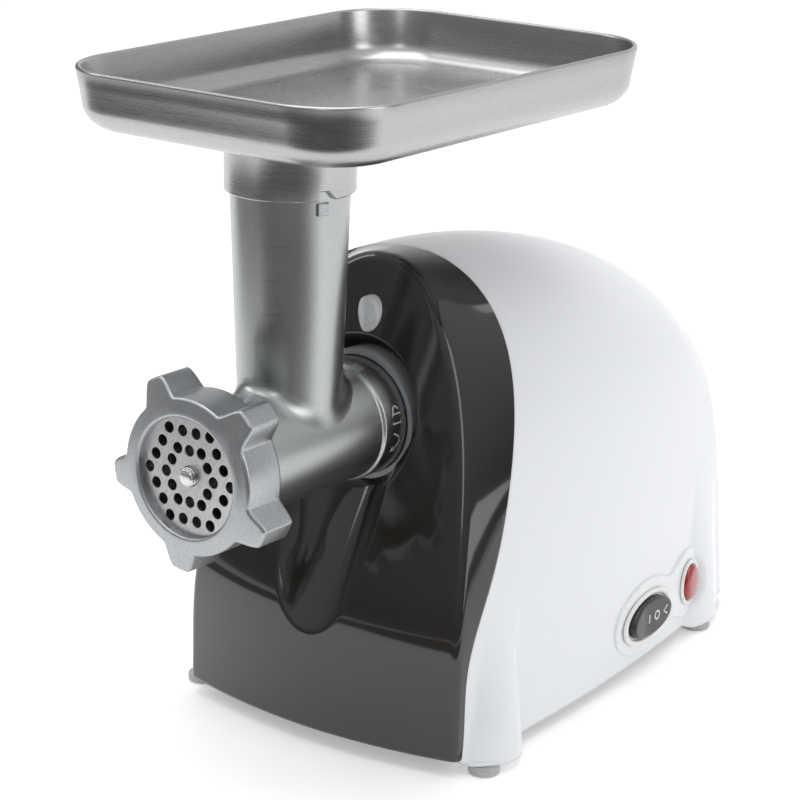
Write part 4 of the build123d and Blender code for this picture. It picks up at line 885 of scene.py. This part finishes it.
def laid(piece, change):
    """Move the vertices of a plain mesh by a function of an (n, 3) array in millimetres."""
    flat_list = np.zeros(len(piece.data.vertices) * 3)
    piece.data.vertices.foreach_get("co", flat_list)
    moved = change(flat_list.reshape(-1, 3) / MM) * MM
    piece.data.vertices.foreach_set("co", moved.ravel())
    piece.data.update()
    return piece


# %% Rear cover rim
half, high, rear_lean = section(REAR_FOOT)
TUCK, EDGE_R, RIM_POINTS = 6.0, 4.0, 260
near_x, near_z = arch(half, high, housing_reach, SKIRT, RIM_POINTS)
far_x, far_z = arch(half - TUCK, high - TUCK, housing_reach, SKIRT, RIM_POINTS)
near_row = np.stack([near_x, REAR_FOOT + rear_lean * near_z, near_z], 1)
far_row = np.stack([far_x, REAR + rear_lean * far_z, far_z], 1)
in_x, in_z = arch(half - TUCK - EDGE_R, high - TUCK - EDGE_R, housing_reach, SKIRT, RIM_POINTS)
in_row = np.stack([in_x, REAR + rear_lean * in_z, in_z], 1)
start_turn = far_row + (near_row - far_row) * 0.5
rows = [near_row + [0, -1.5, 0] - 0.012 * (near_row - [0, 0, 40]), near_row - 0.004 * (near_row - [0, 0, 40]),
        near_row + (start_turn - near_row) * 0.3]
for t in np.linspace(0, 1, 9):
    rows.append((1 - t) ** 2 * start_turn + 2 * t * (1 - t) * far_row + t ** 2 * in_row)
verts, faces = skin(rows, wrap_columns=False)
rim_piece = make_mesh("rear_rim", verts, faces, weld=0.0, angle=60)
if sum(p.normal.y for p in rim_piece.data.polygons) < 0:
    rim_piece.data.flip_normals()
give_wall(rim_piece, REAR_WALL)
finish_piece(rim_piece, "body", "white_plastic", white_shell, "rear_cover")

# %% Slotted back by Geometry Nodes
slotted = NodeTree("slotted_sheet", [
    ("Slots", INTEGER), ("Pitch", FLOAT), ("Slot Width", FLOAT), ("Upper Length", FLOAT),
    ("Lower Length", FLOAT), ("Upper Height", FLOAT), ("Lower Height", FLOAT), ("Thickness", FLOAT),
    ("Material", MATERIAL)])
given = slotted.given
outline_curve = slotted.add("GeometryNodeMeshToCurve", {"Mesh": given["Geometry"]}).outputs["Curve"]
sets = [outline_curve]
for which in ("Upper", "Lower"):
    last = slotted.calc("SUBTRACT", given["Slots"], 1.0)
    half_back = slotted.calc("MULTIPLY", slotted.calc("MULTIPLY", last, given["Pitch"]), -0.5)
    start = slotted.add("ShaderNodeCombineXYZ", {"X": half_back, "Y": given[which + " Height"]}).outputs[0]
    step = slotted.add("ShaderNodeCombineXYZ", {"X": given["Pitch"]}).outputs[0]
    line = slotted.add("GeometryNodeMeshLine",
                       {"Count": given["Slots"], "Start Location": start, "Offset": step})
    slot_box = slotted.add("GeometryNodeCurvePrimitiveQuadrilateral",
                           {"Width": given["Slot Width"], "Height": given[which + " Length"]})
    corner = slotted.calc("MULTIPLY", given["Slot Width"], 0.49)
    rounded = slotted.add("GeometryNodeFilletCurve", {"Curve": slot_box.outputs["Curve"], "Radius": corner,
                                                      "Count": 5}, mode="POLY")
    sets.append(slotted.on_points(line.outputs["Mesh"], rounded.outputs["Curve"]))
slotted.end(slotted.sheet(slotted.join(*sets), given["Thickness"]), given["Material"])

outline_mesh = bpy.data.meshes.new("back_outline")
loop = np.stack([in_x, in_z, np.zeros(len(in_x))], 1)
outline_mesh.from_pydata((loop * MM).tolist(), [(i, (i + 1) % len(loop)) for i in range(len(loop))], [])
back = grown("slotted_back", outline_mesh, slotted, {
    "Slots": 9, "Pitch": 0.007, "Slot Width": 0.003, "Upper Length": 0.022, "Lower Length": 0.026,
    "Upper Height": 0.096, "Lower Height": 0.062, "Thickness": 0.002, "Material": white_shell})
laid(back, lambda p: np.stack([p[:, 0], REAR + rear_lean * p[:, 1] - REAR_WALL + p[:, 2], p[:, 1]], 1))
back.data.flip_normals()
finish_piece(back, "body", "white_plastic", white_shell)

# %% [markdown]
# ## Hole plate
# The steel plate has thirty holes in two hexagonal rings and a stud through its middle. A hexagon
# drawn as a curve and resampled to twelve or eighteen points is exactly that layout, so the tree
# needs only the ring radii and the counts.

# %% Perforated plate by Geometry Nodes
plate_tree = NodeTree("perforated_plate", [
    ("Radius", FLOAT), ("Thickness", FLOAT), ("Hole Radius", FLOAT), ("Centre Hole", FLOAT),
    ("Inner Ring", FLOAT), ("Outer Ring", FLOAT), ("Inner Count", INTEGER), ("Outer Count", INTEGER),
    ("Material", MATERIAL)])
given = plate_tree.given
sets = []
for label, count in (("Radius", 128), ("Centre Hole", 40)):
    sets.append(plate_tree.circle(given[label], count))
hole = plate_tree.circle(given["Hole Radius"], 28)
for which in ("Inner", "Outer"):
    hexagon = plate_tree.circle(given[which + " Ring"], 6)
    spots = plate_tree.add("GeometryNodeResampleCurve", {"Curve": hexagon, "Count": given[which + " Count"]})
    sets.append(plate_tree.on_points(spots.outputs["Curve"], hole))
plate_tree.end(plate_tree.sheet(plate_tree.join(*sets), given["Thickness"]), given["Material"])
plate = grown("hole_plate", bpy.data.meshes.new("empty_base"), plate_tree, {
    "Radius": 0.0269, "Thickness": 0.007, "Hole Radius": 0.00225, "Centre Hole": 0.00405,
    "Inner Ring": 0.01206, "Outer Ring": 0.0207, "Inner Count": 12, "Outer Count": 18,
    "Material": ground_steel})
PLATE_SET_BACK, PLATE_THICK = 3.3, 7.0
PLATE_REAR = FRONT + PLATE_SET_BACK + PLATE_THICK
laid(plate, lambda p: np.stack([p[:, 0], PLATE_REAR - p[:, 2], AXIS_Z + p[:, 1]], 1))
soft = plate.modifiers.new("soft edges", "BEVEL")
soft.width = 0.22 * MM
soft.segments = 2
soft.limit_method = "ANGLE"
soft.angle_limit = math.radians(50)
finish_piece(plate, "head", "steel", ground_steel, "grinding_plate")

# %% [markdown]
# ## Stud and its thread
# The auger's steel stud ends in a short thread. The ridges repeat, so a small tree puts one ring on
# each point of a line along the stud.

# %% Threaded stud
STUD_R = 3.9
thread = NodeTree("thread_ridges", [("Count", INTEGER), ("Pitch", FLOAT), ("Ridge Radius", FLOAT),
                                    ("Ridge Size", FLOAT), ("Material", MATERIAL)])
given = thread.given
step = thread.add("ShaderNodeCombineXYZ", {"Z": given["Pitch"]}).outputs[0]
line = thread.add("GeometryNodeMeshLine", {"Count": given["Count"], "Offset": step})
big, small = thread.circle(given["Ridge Radius"], 48), thread.circle(given["Ridge Size"], 8)
ridge = thread.add("GeometryNodeCurveToMesh", {"Curve": big, "Profile Curve": small})
thread.end(thread.on_points(line.outputs["Mesh"], ridge.outputs["Mesh"]), given["Material"])
ridges = grown("stud_thread", bpy.data.meshes.new("empty_base"), thread, {
    "Count": 4, "Pitch": 0.0014, "Ridge Radius": 0.0034, "Ridge Size": 0.00048, "Material": bright_steel})
laid(ridges, lambda p: np.stack([p[:, 0], FRONT + 1.3 + p[:, 2], AXIS_Z + p[:, 1]], 1))
finish_piece(ridges, "worm", "steel", bright_steel)
profile = [(PLATE_REAR + 14, 0.01), (PLATE_REAR + 14, 3.6), (PLATE_REAR + 13.5, STUD_R),
           (FRONT + 7.2, STUD_R), (FRONT + 6.9, 3.5), (FRONT + 1.2, 3.4), (FRONT + 0.75, 3.1),
           (FRONT + 0.55, 2.6), (FRONT + 0.5, 0.01)]
verts, faces = skin(lathe_y(profile, 64), wrap_rows=False)
finish_piece(make_mesh("stud", verts, faces, weld=0.03, angle=40), "worm", "steel", bright_steel, "auger_stud")

# %% [markdown]
# ## Ring nut
# The cast nut has five lobes with hollow flanks. Its outline is a circle plus a smooth bump at each
# lobe, moved in along its own normals for the rounded edges. The front face falls away outwards.

# %% Ring nut
LUG_TIP, NUT_R, LUG_FIRST = 40.5, 31.8, 45.4
LUG_HALF, LUG_FLAT = 15.8, 4.6   # degrees from a lug's middle to its foot, and to the edge of its tip
THREAD_R, OPENING_R, FACE_START, FALL_START, FALL = 29.28, 24.1, 25.4, 25.6, 0.24
turn = np.linspace(0, 2 * math.pi, 900, endpoint=False)
gap = (np.degrees(turn) - LUG_FIRST + 36) % 72 - 36
bump = smooth_step((LUG_HALF - np.abs(gap)) / (LUG_HALF - LUG_FLAT))
reach = NUT_R + (LUG_TIP - NUT_R) * bump
nut_line = np.stack([reach * np.cos(turn), reach * np.sin(turn)], 1)


def fall(r):
    """The front face, flat near the opening and falling away outwards."""
    return FRONT + FALL * np.maximum(r - FALL_START, 0)


def nut_row(line, y):
    return np.stack([line[:, 0], np.broadcast_to(y, len(line)), AXIS_Z + line[:, 1]], 1)


def circle_row(r, y):
    return nut_row(np.stack([r * np.cos(turn), r * np.sin(turn)], 1), y)


ROUND_R = 1.7
REAR_FACE = FRONT + 21.0
rows = [circle_row(THREAD_R, REAR_FACE), circle_row(THREAD_R, FRONT + PLATE_SET_BACK),
        circle_row(OPENING_R, FRONT + PLATE_SET_BACK), circle_row(OPENING_R, FRONT + 1.1),
        circle_row(24.35, FRONT + 0.45), circle_row(24.85, FRONT + 0.08), circle_row(FACE_START, FRONT)]
inner_line = inward(nut_line, ROUND_R)
first_line = np.stack([FACE_START * np.cos(turn), FACE_START * np.sin(turn)], 1)
for share in (0.3, 0.6, 1.0):
    line = first_line + (inner_line - first_line) * share
    rows.append(nut_row(line, fall(np.hypot(line[:, 0], line[:, 1]))))
depth = fall(np.hypot(inner_line[:, 0], inner_line[:, 1]))
for a in np.radians([20, 40, 60, 75, 90]):
    rows.append(nut_row(inward(nut_line, ROUND_R * (1 - math.sin(a))), depth + ROUND_R * (1 - math.cos(a))))
rows.append(nut_row(nut_line, REAR_FACE - 6))
for a in np.radians([90, 65, 40, 20, 0]):
    rows.append(nut_row(inward(nut_line, ROUND_R * (1 - math.sin(a))), REAR_FACE - ROUND_R * (1 - math.cos(a))))
verts, faces = skin(rows, wrap_rows=True)
finish_piece(make_mesh("ring_nut_casting", verts, faces, angle=40), "ring", "cast_aluminium", cast_metal,
             "ring_nut")

# %% [markdown]
# ## Head casting
# The barrel is a lathe shape with a rounded shoulder at the bayonet collar. The feed tube stands on
# it, and at its foot it flares into the barrel over a few millimetres, as a casting does. The flare
# is worked out point by point round the tube: down the tube, then out along the barrel.

# %% Barrel
barrel_profile = [
    (-157.0, 27.1), (-157.0, 29.2), (-147.5, 29.2), (-147.0, BARREL_R), (-72.2, BARREL_R),
    (-71.7, 23.95), (-71.3, 24.25), (-71.05, 24.7), (-70.7, 24.98), (-70.2, BAYONET_R),
    (-56.9, BAYONET_R), (-56.4, 24.95), (-56.05, 24.5), (-56.0, 22.6), (-36.2, 22.6), (-36.0, 22.4),
    (-36.0, 13.0), (-60.0, 13.0), (-60.0, BARREL_BORE), (-149.7, BARREL_BORE), (-149.7, 27.1)]
verts, faces = skin(lathe_y(barrel_profile, 160), wrap_rows=True)
barrel = make_mesh("barrel_solid", verts, faces, angle=30)
FEED_CUT_R = 18.9
turn = np.linspace(0, 2 * math.pi, 96, endpoint=False)
cutter_loops = [np.stack([r * np.cos(turn), TUBE_Y + r * np.sin(turn), np.full(len(turn), z)], 1)
                for r, z in ((0.02, 140.0), (FEED_CUT_R, 140.0), (FEED_CUT_R, 168.0), (0.02, 168.0))]
verts, faces = skin(cutter_loops)
cutter = make_mesh("feed_cutter", verts, faces, weld=0.05)
cut = barrel.modifiers.new("feed hole", "BOOLEAN")
cut.object = cutter
cut.operation = "DIFFERENCE"
cut.solver = "EXACT"
bpy.context.view_layer.update()
barrel_mesh = bpy.data.meshes.new_from_object(barrel.evaluated_get(bpy.context.evaluated_depsgraph_get()))
for spare in (barrel, cutter):
    bpy.data.objects.remove(spare)
print("barrel", len(barrel_mesh.polygons), "faces")

# %% Feed tube
SIDES, FLARE, TAPER = 144, 7.0, 0.033
turn = np.linspace(0, 2 * math.pi, SIDES, endpoint=False)
cos_t, sin_t = np.cos(turn), np.sin(turn)


def tube_outer(z):
    """Radius of the tube's outside: straight in the tray's collar, tapered below it."""
    return TUBE_R - TAPER * np.maximum(COLLAR_LOW - z, 0)


def tube_row(radius, z):
    return np.stack([radius * cos_t, TUBE_Y + radius * sin_t, np.broadcast_to(z, SIDES)], 1)


meet = np.full(SIDES, 150.0)
for _ in range(20):
    meet = AXIS_Z + np.sqrt(BARREL_R ** 2 - (tube_outer(meet) * cos_t) ** 2)
bore_low = AXIS_Z + np.sqrt(BARREL_BORE ** 2 - ((tube_outer(150.0) - TUBE_WALL) * cos_t) ** 2) + 0.6
rows = [tube_row(tube_outer(bore_low) - TUBE_WALL, bore_low), tube_row(tube_outer(200.0) - TUBE_WALL, 200.0),
        tube_row(TUBE_R - TUBE_WALL, COLLAR_LOW), tube_row(TUBE_R - TUBE_WALL, TUBE_TOP - 0.4),
        tube_row(TUBE_R - TUBE_WALL + 0.5, TUBE_TOP), tube_row(TUBE_R - 0.5, TUBE_TOP),
        tube_row(TUBE_R, TUBE_TOP - 0.5), tube_row(TUBE_R, COLLAR_LOW)]
for share in (0.25, 0.5, 0.75, 1.0):
    z = COLLAR_LOW + (meet + FLARE - COLLAR_LOW) * share
    rows.append(tube_row(tube_outer(z), z))
top_point = rows[-1]
corner = tube_row(tube_outer(meet), meet)
spread = np.arcsin(np.clip(tube_outer(meet) * cos_t / BARREL_R, -1, 1)) + FLARE * 1.15 * cos_t / BARREL_R
spread = np.clip(spread, -1.5, 1.5)
foot = np.stack([(BARREL_R - 0.06) * np.sin(spread), TUBE_Y + (tube_outer(meet) + FLARE * 1.15) * sin_t,
                 AXIS_Z + (BARREL_R - 0.06) * np.cos(spread)], 1)
for t in np.linspace(0, 1, 11)[1:]:
    rows.append((1 - t) ** 2 * top_point + 2 * t * (1 - t) * corner + t ** 2 * foot)
rows.append(foot - [0, 0, 1.2])
verts, faces = skin(rows, wrap_rows=True)
tube = make_mesh("tube_solid", verts, faces, angle=40)
joined = bmesh.new()
joined.from_mesh(barrel_mesh)
joined.from_mesh(tube.data)
joined.to_mesh(tube.data)
joined.free()
tube.name = "head_casting_skin"
tube.data.shade_smooth()
tube.data.set_sharp_from_angle(angle=math.radians(38))
finish_piece(tube, "head", "cast_aluminium", turned_metal, "head_casting")


# %% Tube key and collar marks
def collar_point(flat, lift):
    """(y, angle in degrees) on the bayonet collar, lifted off it."""
    a = np.radians(flat[:, 1])
    r = BAYONET_R + lift
    return np.stack([r * np.cos(a), flat[:, 0], AXIS_Z + r * np.sin(a)], 1)


MM_PER_DEGREE = 0.438   # along the collar's surface
marks = [
    ([(-66.0, 6.0), (-61.0, 6.0), (-61.0, 15.0), (-66.0, 15.0)], True),
    ([(-65.2, 15.0), (-65.2, 19.0), (-64.4, 21.5), (-63.5, 22.3), (-62.6, 21.5), (-61.8, 19.0)], False),
    ([(-66.0, -3.0), (-62.6, -7.0), (-61.6, -12.0), (-62.6, -17.0), (-65.5, -21.0)], False),
    ([(-62.9, -21.5), (-65.8, -21.5), (-65.4, -16.5)], False)]
strips = []
for points, closed in marks:
    scaled = [(y, a * MM_PER_DEGREE) for y, a in points]
    left, right = ribbon(scaled, 0.7, closed)
    left[:, 1] /= MM_PER_DEGREE
    right[:, 1] /= MM_PER_DEGREE
    grid = np.stack([collar_point(left, -0.1), collar_point(left, 0.05), collar_point(right, 0.05),
                     collar_point(right, -0.1)], 1)
    strips.append(skin(grid, wrap_rows=closed))
key_turn = math.radians(KEY_ANGLE)
key_loops = []
for share, out in ((1.0, 22.8), (1.0, 24.4), (0.9, 24.75), (0.7, 24.85)):
    half = 2.5 * share
    corners = []
    for u, v in ((-1, -1), (1, -1), (1, 1), (-1, 1)):
        corners.append([out * math.cos(key_turn) - u * half * math.sin(key_turn),
                        TUBE_Y + out * math.sin(key_turn) + u * half * math.cos(key_turn),
                        COLLAR_LOW - 3.6 + v * half])
    key_loops.append(np.array(corners))
key = merged(skin(key_loops), ([*key_loops[-1]], [(0, 1, 2, 3)]), ([*key_loops[0]], [(0, 1, 2, 3)]))
verts, faces = merged(*strips)
finish_piece(make_mesh("collar_marks", verts, faces, angle=30), "head", "cast_aluminium", mark_pale)
finish_piece(make_mesh("tube_key", *key, angle=30), "head", "cast_aluminium", cast_metal)

# %% [markdown]
# ## Tray
# The tray is pressed from sheet: a rounded rectangle with a deep soft bottom edge and a rounded rim.
# Every loop has the same points, so the loops can pass from the rounded rectangle to the round hole
# and the collar below it in one closed skin.

# %% Tray
TRAY_HALF = (75.8, 107.35)
TRAY_MID, TRAY_CORNER, TRAY_TOP, TRAY_FLOOR = -55.85, 34.0, 287.0, 262.5
TRAY_INSIDE, FLAT_INSET, BEND_Z, OUTER_BEND, INNER_BEND = 264.7, 13.2, 273.5, 11, 8.8
COLLAR_BORE, COLLAR_OUT, RIM_R = 24.0, 26.05, 1.1


def tray_outline(inset):
    """Rounded rectangle, corner by corner, with the straight side that follows each corner."""
    hx, hy, r = TRAY_HALF[0] - inset, TRAY_HALF[1] - inset, TRAY_CORNER - inset
    points = []
    for cx, cy, start in ((hx - r, hy - r, 0), (-hx + r, hy - r, 90), (-hx + r, -hy + r, 180),
                          (hx - r, -hy + r, 270)):
        for k in range(25):
            a = math.radians(start + 90 * k / 24)
            points.append((cx + r * math.cos(a), cy + r * math.sin(a)))
        nxt = math.radians(start + 90)
        end = (cx + r * math.cos(nxt), cy + r * math.sin(nxt))
        side = hy - r if start in (90, 270) else hx - r
        direction = {0: (-1, 0), 90: (0, -1), 180: (1, 0), 270: (0, 1)}[start]
        for k in range(1, 16):
            points.append((end[0] + direction[0] * 2 * side * k / 16,
                           end[1] + direction[1] * 2 * side * k / 16))
    return np.array(points) + [0, TRAY_MID]


def tray_row(inset, z):
    flat = tray_outline(inset)
    return np.column_stack([flat, np.full(len(flat), z)])


guide = tray_outline(14.0) - [0, TUBE_Y]
guide = guide / np.linalg.norm(guide, axis=1)[:, None]
guide_angle = np.degrees(np.arctan2(guide[:, 1], guide[:, 0]))


def hole_row(r, z):
    return np.column_stack([guide * r + [0, TUBE_Y], np.broadcast_to(z, len(guide))])


def blend_rows(a, b, shares):
    return [a + (b - a) * s for s in shares]


NOTCH_HALF, NOTCH_DEEP = 6.5, 3.6
notch = np.where(np.abs(guide_angle - KEY_ANGLE) < NOTCH_HALF, NOTCH_DEEP, 0.0)
collar_end = COLLAR_LOW + notch
rows = [hole_row(21.6, 264.68), hole_row(21.4, 264.3), hole_row(21.4, 260.6), hole_row(COLLAR_BORE, 260.6),
        hole_row(COLLAR_BORE, collar_end + 0.3), hole_row(24.3, collar_end), hole_row(25.7, collar_end),
        hole_row(COLLAR_OUT, collar_end + 0.4), hole_row(COLLAR_OUT, 261.0), hole_row(26.6, 262.0),
        hole_row(27.6, TRAY_FLOOR)]
rows += blend_rows(rows[-1], tray_row(FLAT_INSET, TRAY_FLOOR), (0.15, 0.35, 0.6, 0.85, 1.0))
for a in np.radians(np.linspace(10, 90, 9)):
    rows.append(tray_row(FLAT_INSET - OUTER_BEND * math.sin(a), BEND_Z - OUTER_BEND * math.cos(a)))
rows += [tray_row(1.2, 279.5), tray_row(0.0, TRAY_TOP - RIM_R)]
for a in np.radians([30, 60, 90, 120, 150, 180]):
    rows.append(tray_row(RIM_R - RIM_R * math.cos(a), TRAY_TOP - RIM_R + RIM_R * math.sin(a)))
rows.append(tray_row(3.4, 279.5))
for a in np.radians(np.linspace(90, 10, 9)):
    rows.append(tray_row(FLAT_INSET - INNER_BEND * math.sin(a), BEND_Z - INNER_BEND * math.cos(a)))
rows += blend_rows(tray_row(FLAT_INSET, TRAY_INSIDE), hole_row(22.6, TRAY_INSIDE),
                   (0.0, 0.15, 0.4, 0.65, 0.85, 1.0))
verts, faces = skin(rows, wrap_rows=True)
finish_piece(make_mesh("tray_pressing", verts, faces, angle=40), "lift_tray", "brushed_aluminium", rolled_sheet,
             "tray")

# %% [markdown]
# ## Rubber feet
# Four identical feet: one lathe shape, set at a front spot and a rear spot and mirrored, by a tree.

# %% Feet by Geometry Nodes
foot_tree = NodeTree("four_feet", [("Front Spot", VECTOR), ("Rear Spot", VECTOR), ("Material", MATERIAL)])
given = foot_tree.given
gap_between = foot_tree.add("ShaderNodeVectorMath", {0: given["Rear Spot"], 1: given["Front Spot"]},
                            operation="SUBTRACT").outputs[0]
line = foot_tree.add("GeometryNodeMeshLine", {"Count": 2, "Start Location": given["Front Spot"],
                                              "Offset": gap_between})
one_side = foot_tree.on_points(line.outputs["Mesh"], given["Geometry"])
other = foot_tree.add("GeometryNodeTransform", {"Geometry": one_side, "Scale": (-1.0, 1.0, 1.0)}).outputs[0]
other = foot_tree.add("GeometryNodeFlipFaces", {"Mesh": other}).outputs[0]
foot_tree.end(foot_tree.join(one_side, other), given["Material"])
turn = np.linspace(0, 2 * math.pi, 48, endpoint=False)
foot_profile = [(0.05, 0.5), (3.8, 0.5), (4.3, 0.02), (5.6, 0.0), (6.3, 0.35), (6.6, 1.0), (6.6, 3.2),
                (6.3, 3.8), (5.8, 4.0), (0.05, 4.0)]
foot_rows = [np.stack([r * np.cos(turn), r * np.sin(turn), np.full(len(turn), z)], 1)
             for r, z in foot_profile]
verts, faces = skin(foot_rows)
seed = make_mesh("foot_seed", verts, faces, weld=0.06)
feet = grown("rubber_foot_set", seed.data.copy(), foot_tree, {
    "Front Spot": (0.0765, -0.0688, 0.0), "Rear Spot": (0.0605, 0.124, 0.0), "Material": foot_rubber})
bpy.data.objects.remove(seed)
finish_piece(feet, "body", "foot_rubber", foot_rubber, "rubber_feet")

# %% [markdown]
# ## Floor, light and camera
# A product like this is shown on a plain pale sweep. Large soft lights give the metal long bright
# bands, and two dark cards outside the picture give it, and the glossy panel, something to reflect
# that keeps the edges readable.

# %% Floor
sweep = []
for x in np.linspace(-4000, 4000, 3):
    line = [(x, -4000.0, 0.0), (x, 2600.0, 0.0)]
    for a in np.radians(np.linspace(0, 90, 13))[1:]:
        line.append((x, 2600 + 900 * math.sin(a), 900 - 900 * math.cos(a)))
    line.append((x, 3500.0, 4500.0))
    sweep.append(line)
verts, faces = skin(np.array(sweep), wrap_columns=False)
floor = make_mesh("pale_sweep", verts, faces, weld=0.0, angle=60)
floor.data.materials.append(finish("pale_floor", (0.92, 0.92, 0.92), (0.55, 0.65), grain=60, bump=0.0,
                                   second=(0.92, 0.92, 0.92), Emission_Color=(1.0, 1.0, 1.0, 1.0),
                                   Emission_Strength=0.26))


def dark_card(name, corners):
    """A black card that the metal and the glossy panel reflect, outside the picture."""
    card = make_mesh(name, np.array(corners, float), [(0, 1, 2, 3)], weld=0.0, recalc=False)
    card.data.materials.append(carbon)


VIEW_SIN, VIEW_COS, CARD_HEIGHT = 0.597, 0.802, 2.0


def across(depth, side):
    """Point by its distance beyond the machine and to its right, as the camera sees them."""
    return (-VIEW_SIN * depth + VIEW_COS * side, VIEW_COS * depth + VIEW_SIN * side, CARD_HEIGHT)


dark_card("floor_card", [across(-380, -1500), across(-1600, -1500), across(-1600, 600), across(-380, 600)])
dark_card("side_card", [across(-380, -560), across(500, -820), across(500, -1500), across(-380, -1500)])

# %% Lights
world = bpy.data.worlds.new("studio")
bpy.context.scene.world = world
world.use_nodes = True
sky = world.node_tree.nodes
toward_sky = sky.new("ShaderNodeTexCoord")
parts = sky.new("ShaderNodeSeparateXYZ")
rise = sky.new("ShaderNodeMapRange")
for label, value in (("From Min", 0.12), ("From Max", 0.85), ("To Min", 0.14), ("To Max", 0.95)):
    rise.inputs[label].default_value = value
world.node_tree.links.new(toward_sky.outputs["Generated"], parts.inputs["Vector"])
world.node_tree.links.new(parts.outputs["Z"], rise.inputs["Value"])
world.node_tree.links.new(rise.outputs["Result"], sky["Background"].inputs["Strength"])
sky["Background"].inputs["Color"].default_value = (0.96, 0.975, 1.0, 1.0)


def soft_light(name, place, aim, size, power):
    data = bpy.data.lights.new(name, "AREA")
    data.shape = "RECTANGLE"
    data.size, data.size_y = size
    data.energy = power
    lamp = bpy.data.objects.new(name, data)
    lamp.location = place
    lamp.rotation_euler = (Vector(aim) - Vector(place)).to_track_quat("-Z", "Y").to_euler()
    bpy.context.scene.collection.objects.link(lamp)


soft_light("top_box", (-0.2, -0.1, 1.8), (0.0, 0.0, 0.1), (1.5, 1.5), 13)
soft_light("left_box", (-1.6, -0.7, 1.3), (0.0, 0.0, 0.15), (0.5, 1.0), 4)
soft_light("right_box", (1.75, 0.1, 0.75), (0.0, 0.0, 0.15), (0.7, 1.2), 6)
soft_light("front_strip", (0.9, -1.9, 1.3), (0.0, -0.1, 0.15), (0.35, 1.0), 2.5)

# %% Camera
camera_data = bpy.data.cameras.new("camera")
camera_data.lens = 119.6
camera_data.sensor_width = 36.0
camera_data.shift_x = -0.018
camera_data.shift_y = 0.0012
camera_data.clip_start = 0.05
camera = bpy.data.objects.new("camera", camera_data)
right = Vector((0.79852, 0.60170, 0.01775))
up = Vector((-0.19082, 0.22506, 0.95548))
back_way = Vector((0.57092, -0.76636, 0.29453))
turned = Matrix((right, up, back_way)).transposed().to_4x4()
camera.matrix_world = Matrix.Translation((0.6482, -0.8887, 0.4669)) @ turned
bpy.context.scene.collection.objects.link(camera)
bpy.context.scene.camera = camera
bpy.context.scene.view_settings.view_transform = "Standard"

# %% [markdown]
# ## Last update
# The view layer is updated once more.

bpy.context.view_layer.update()
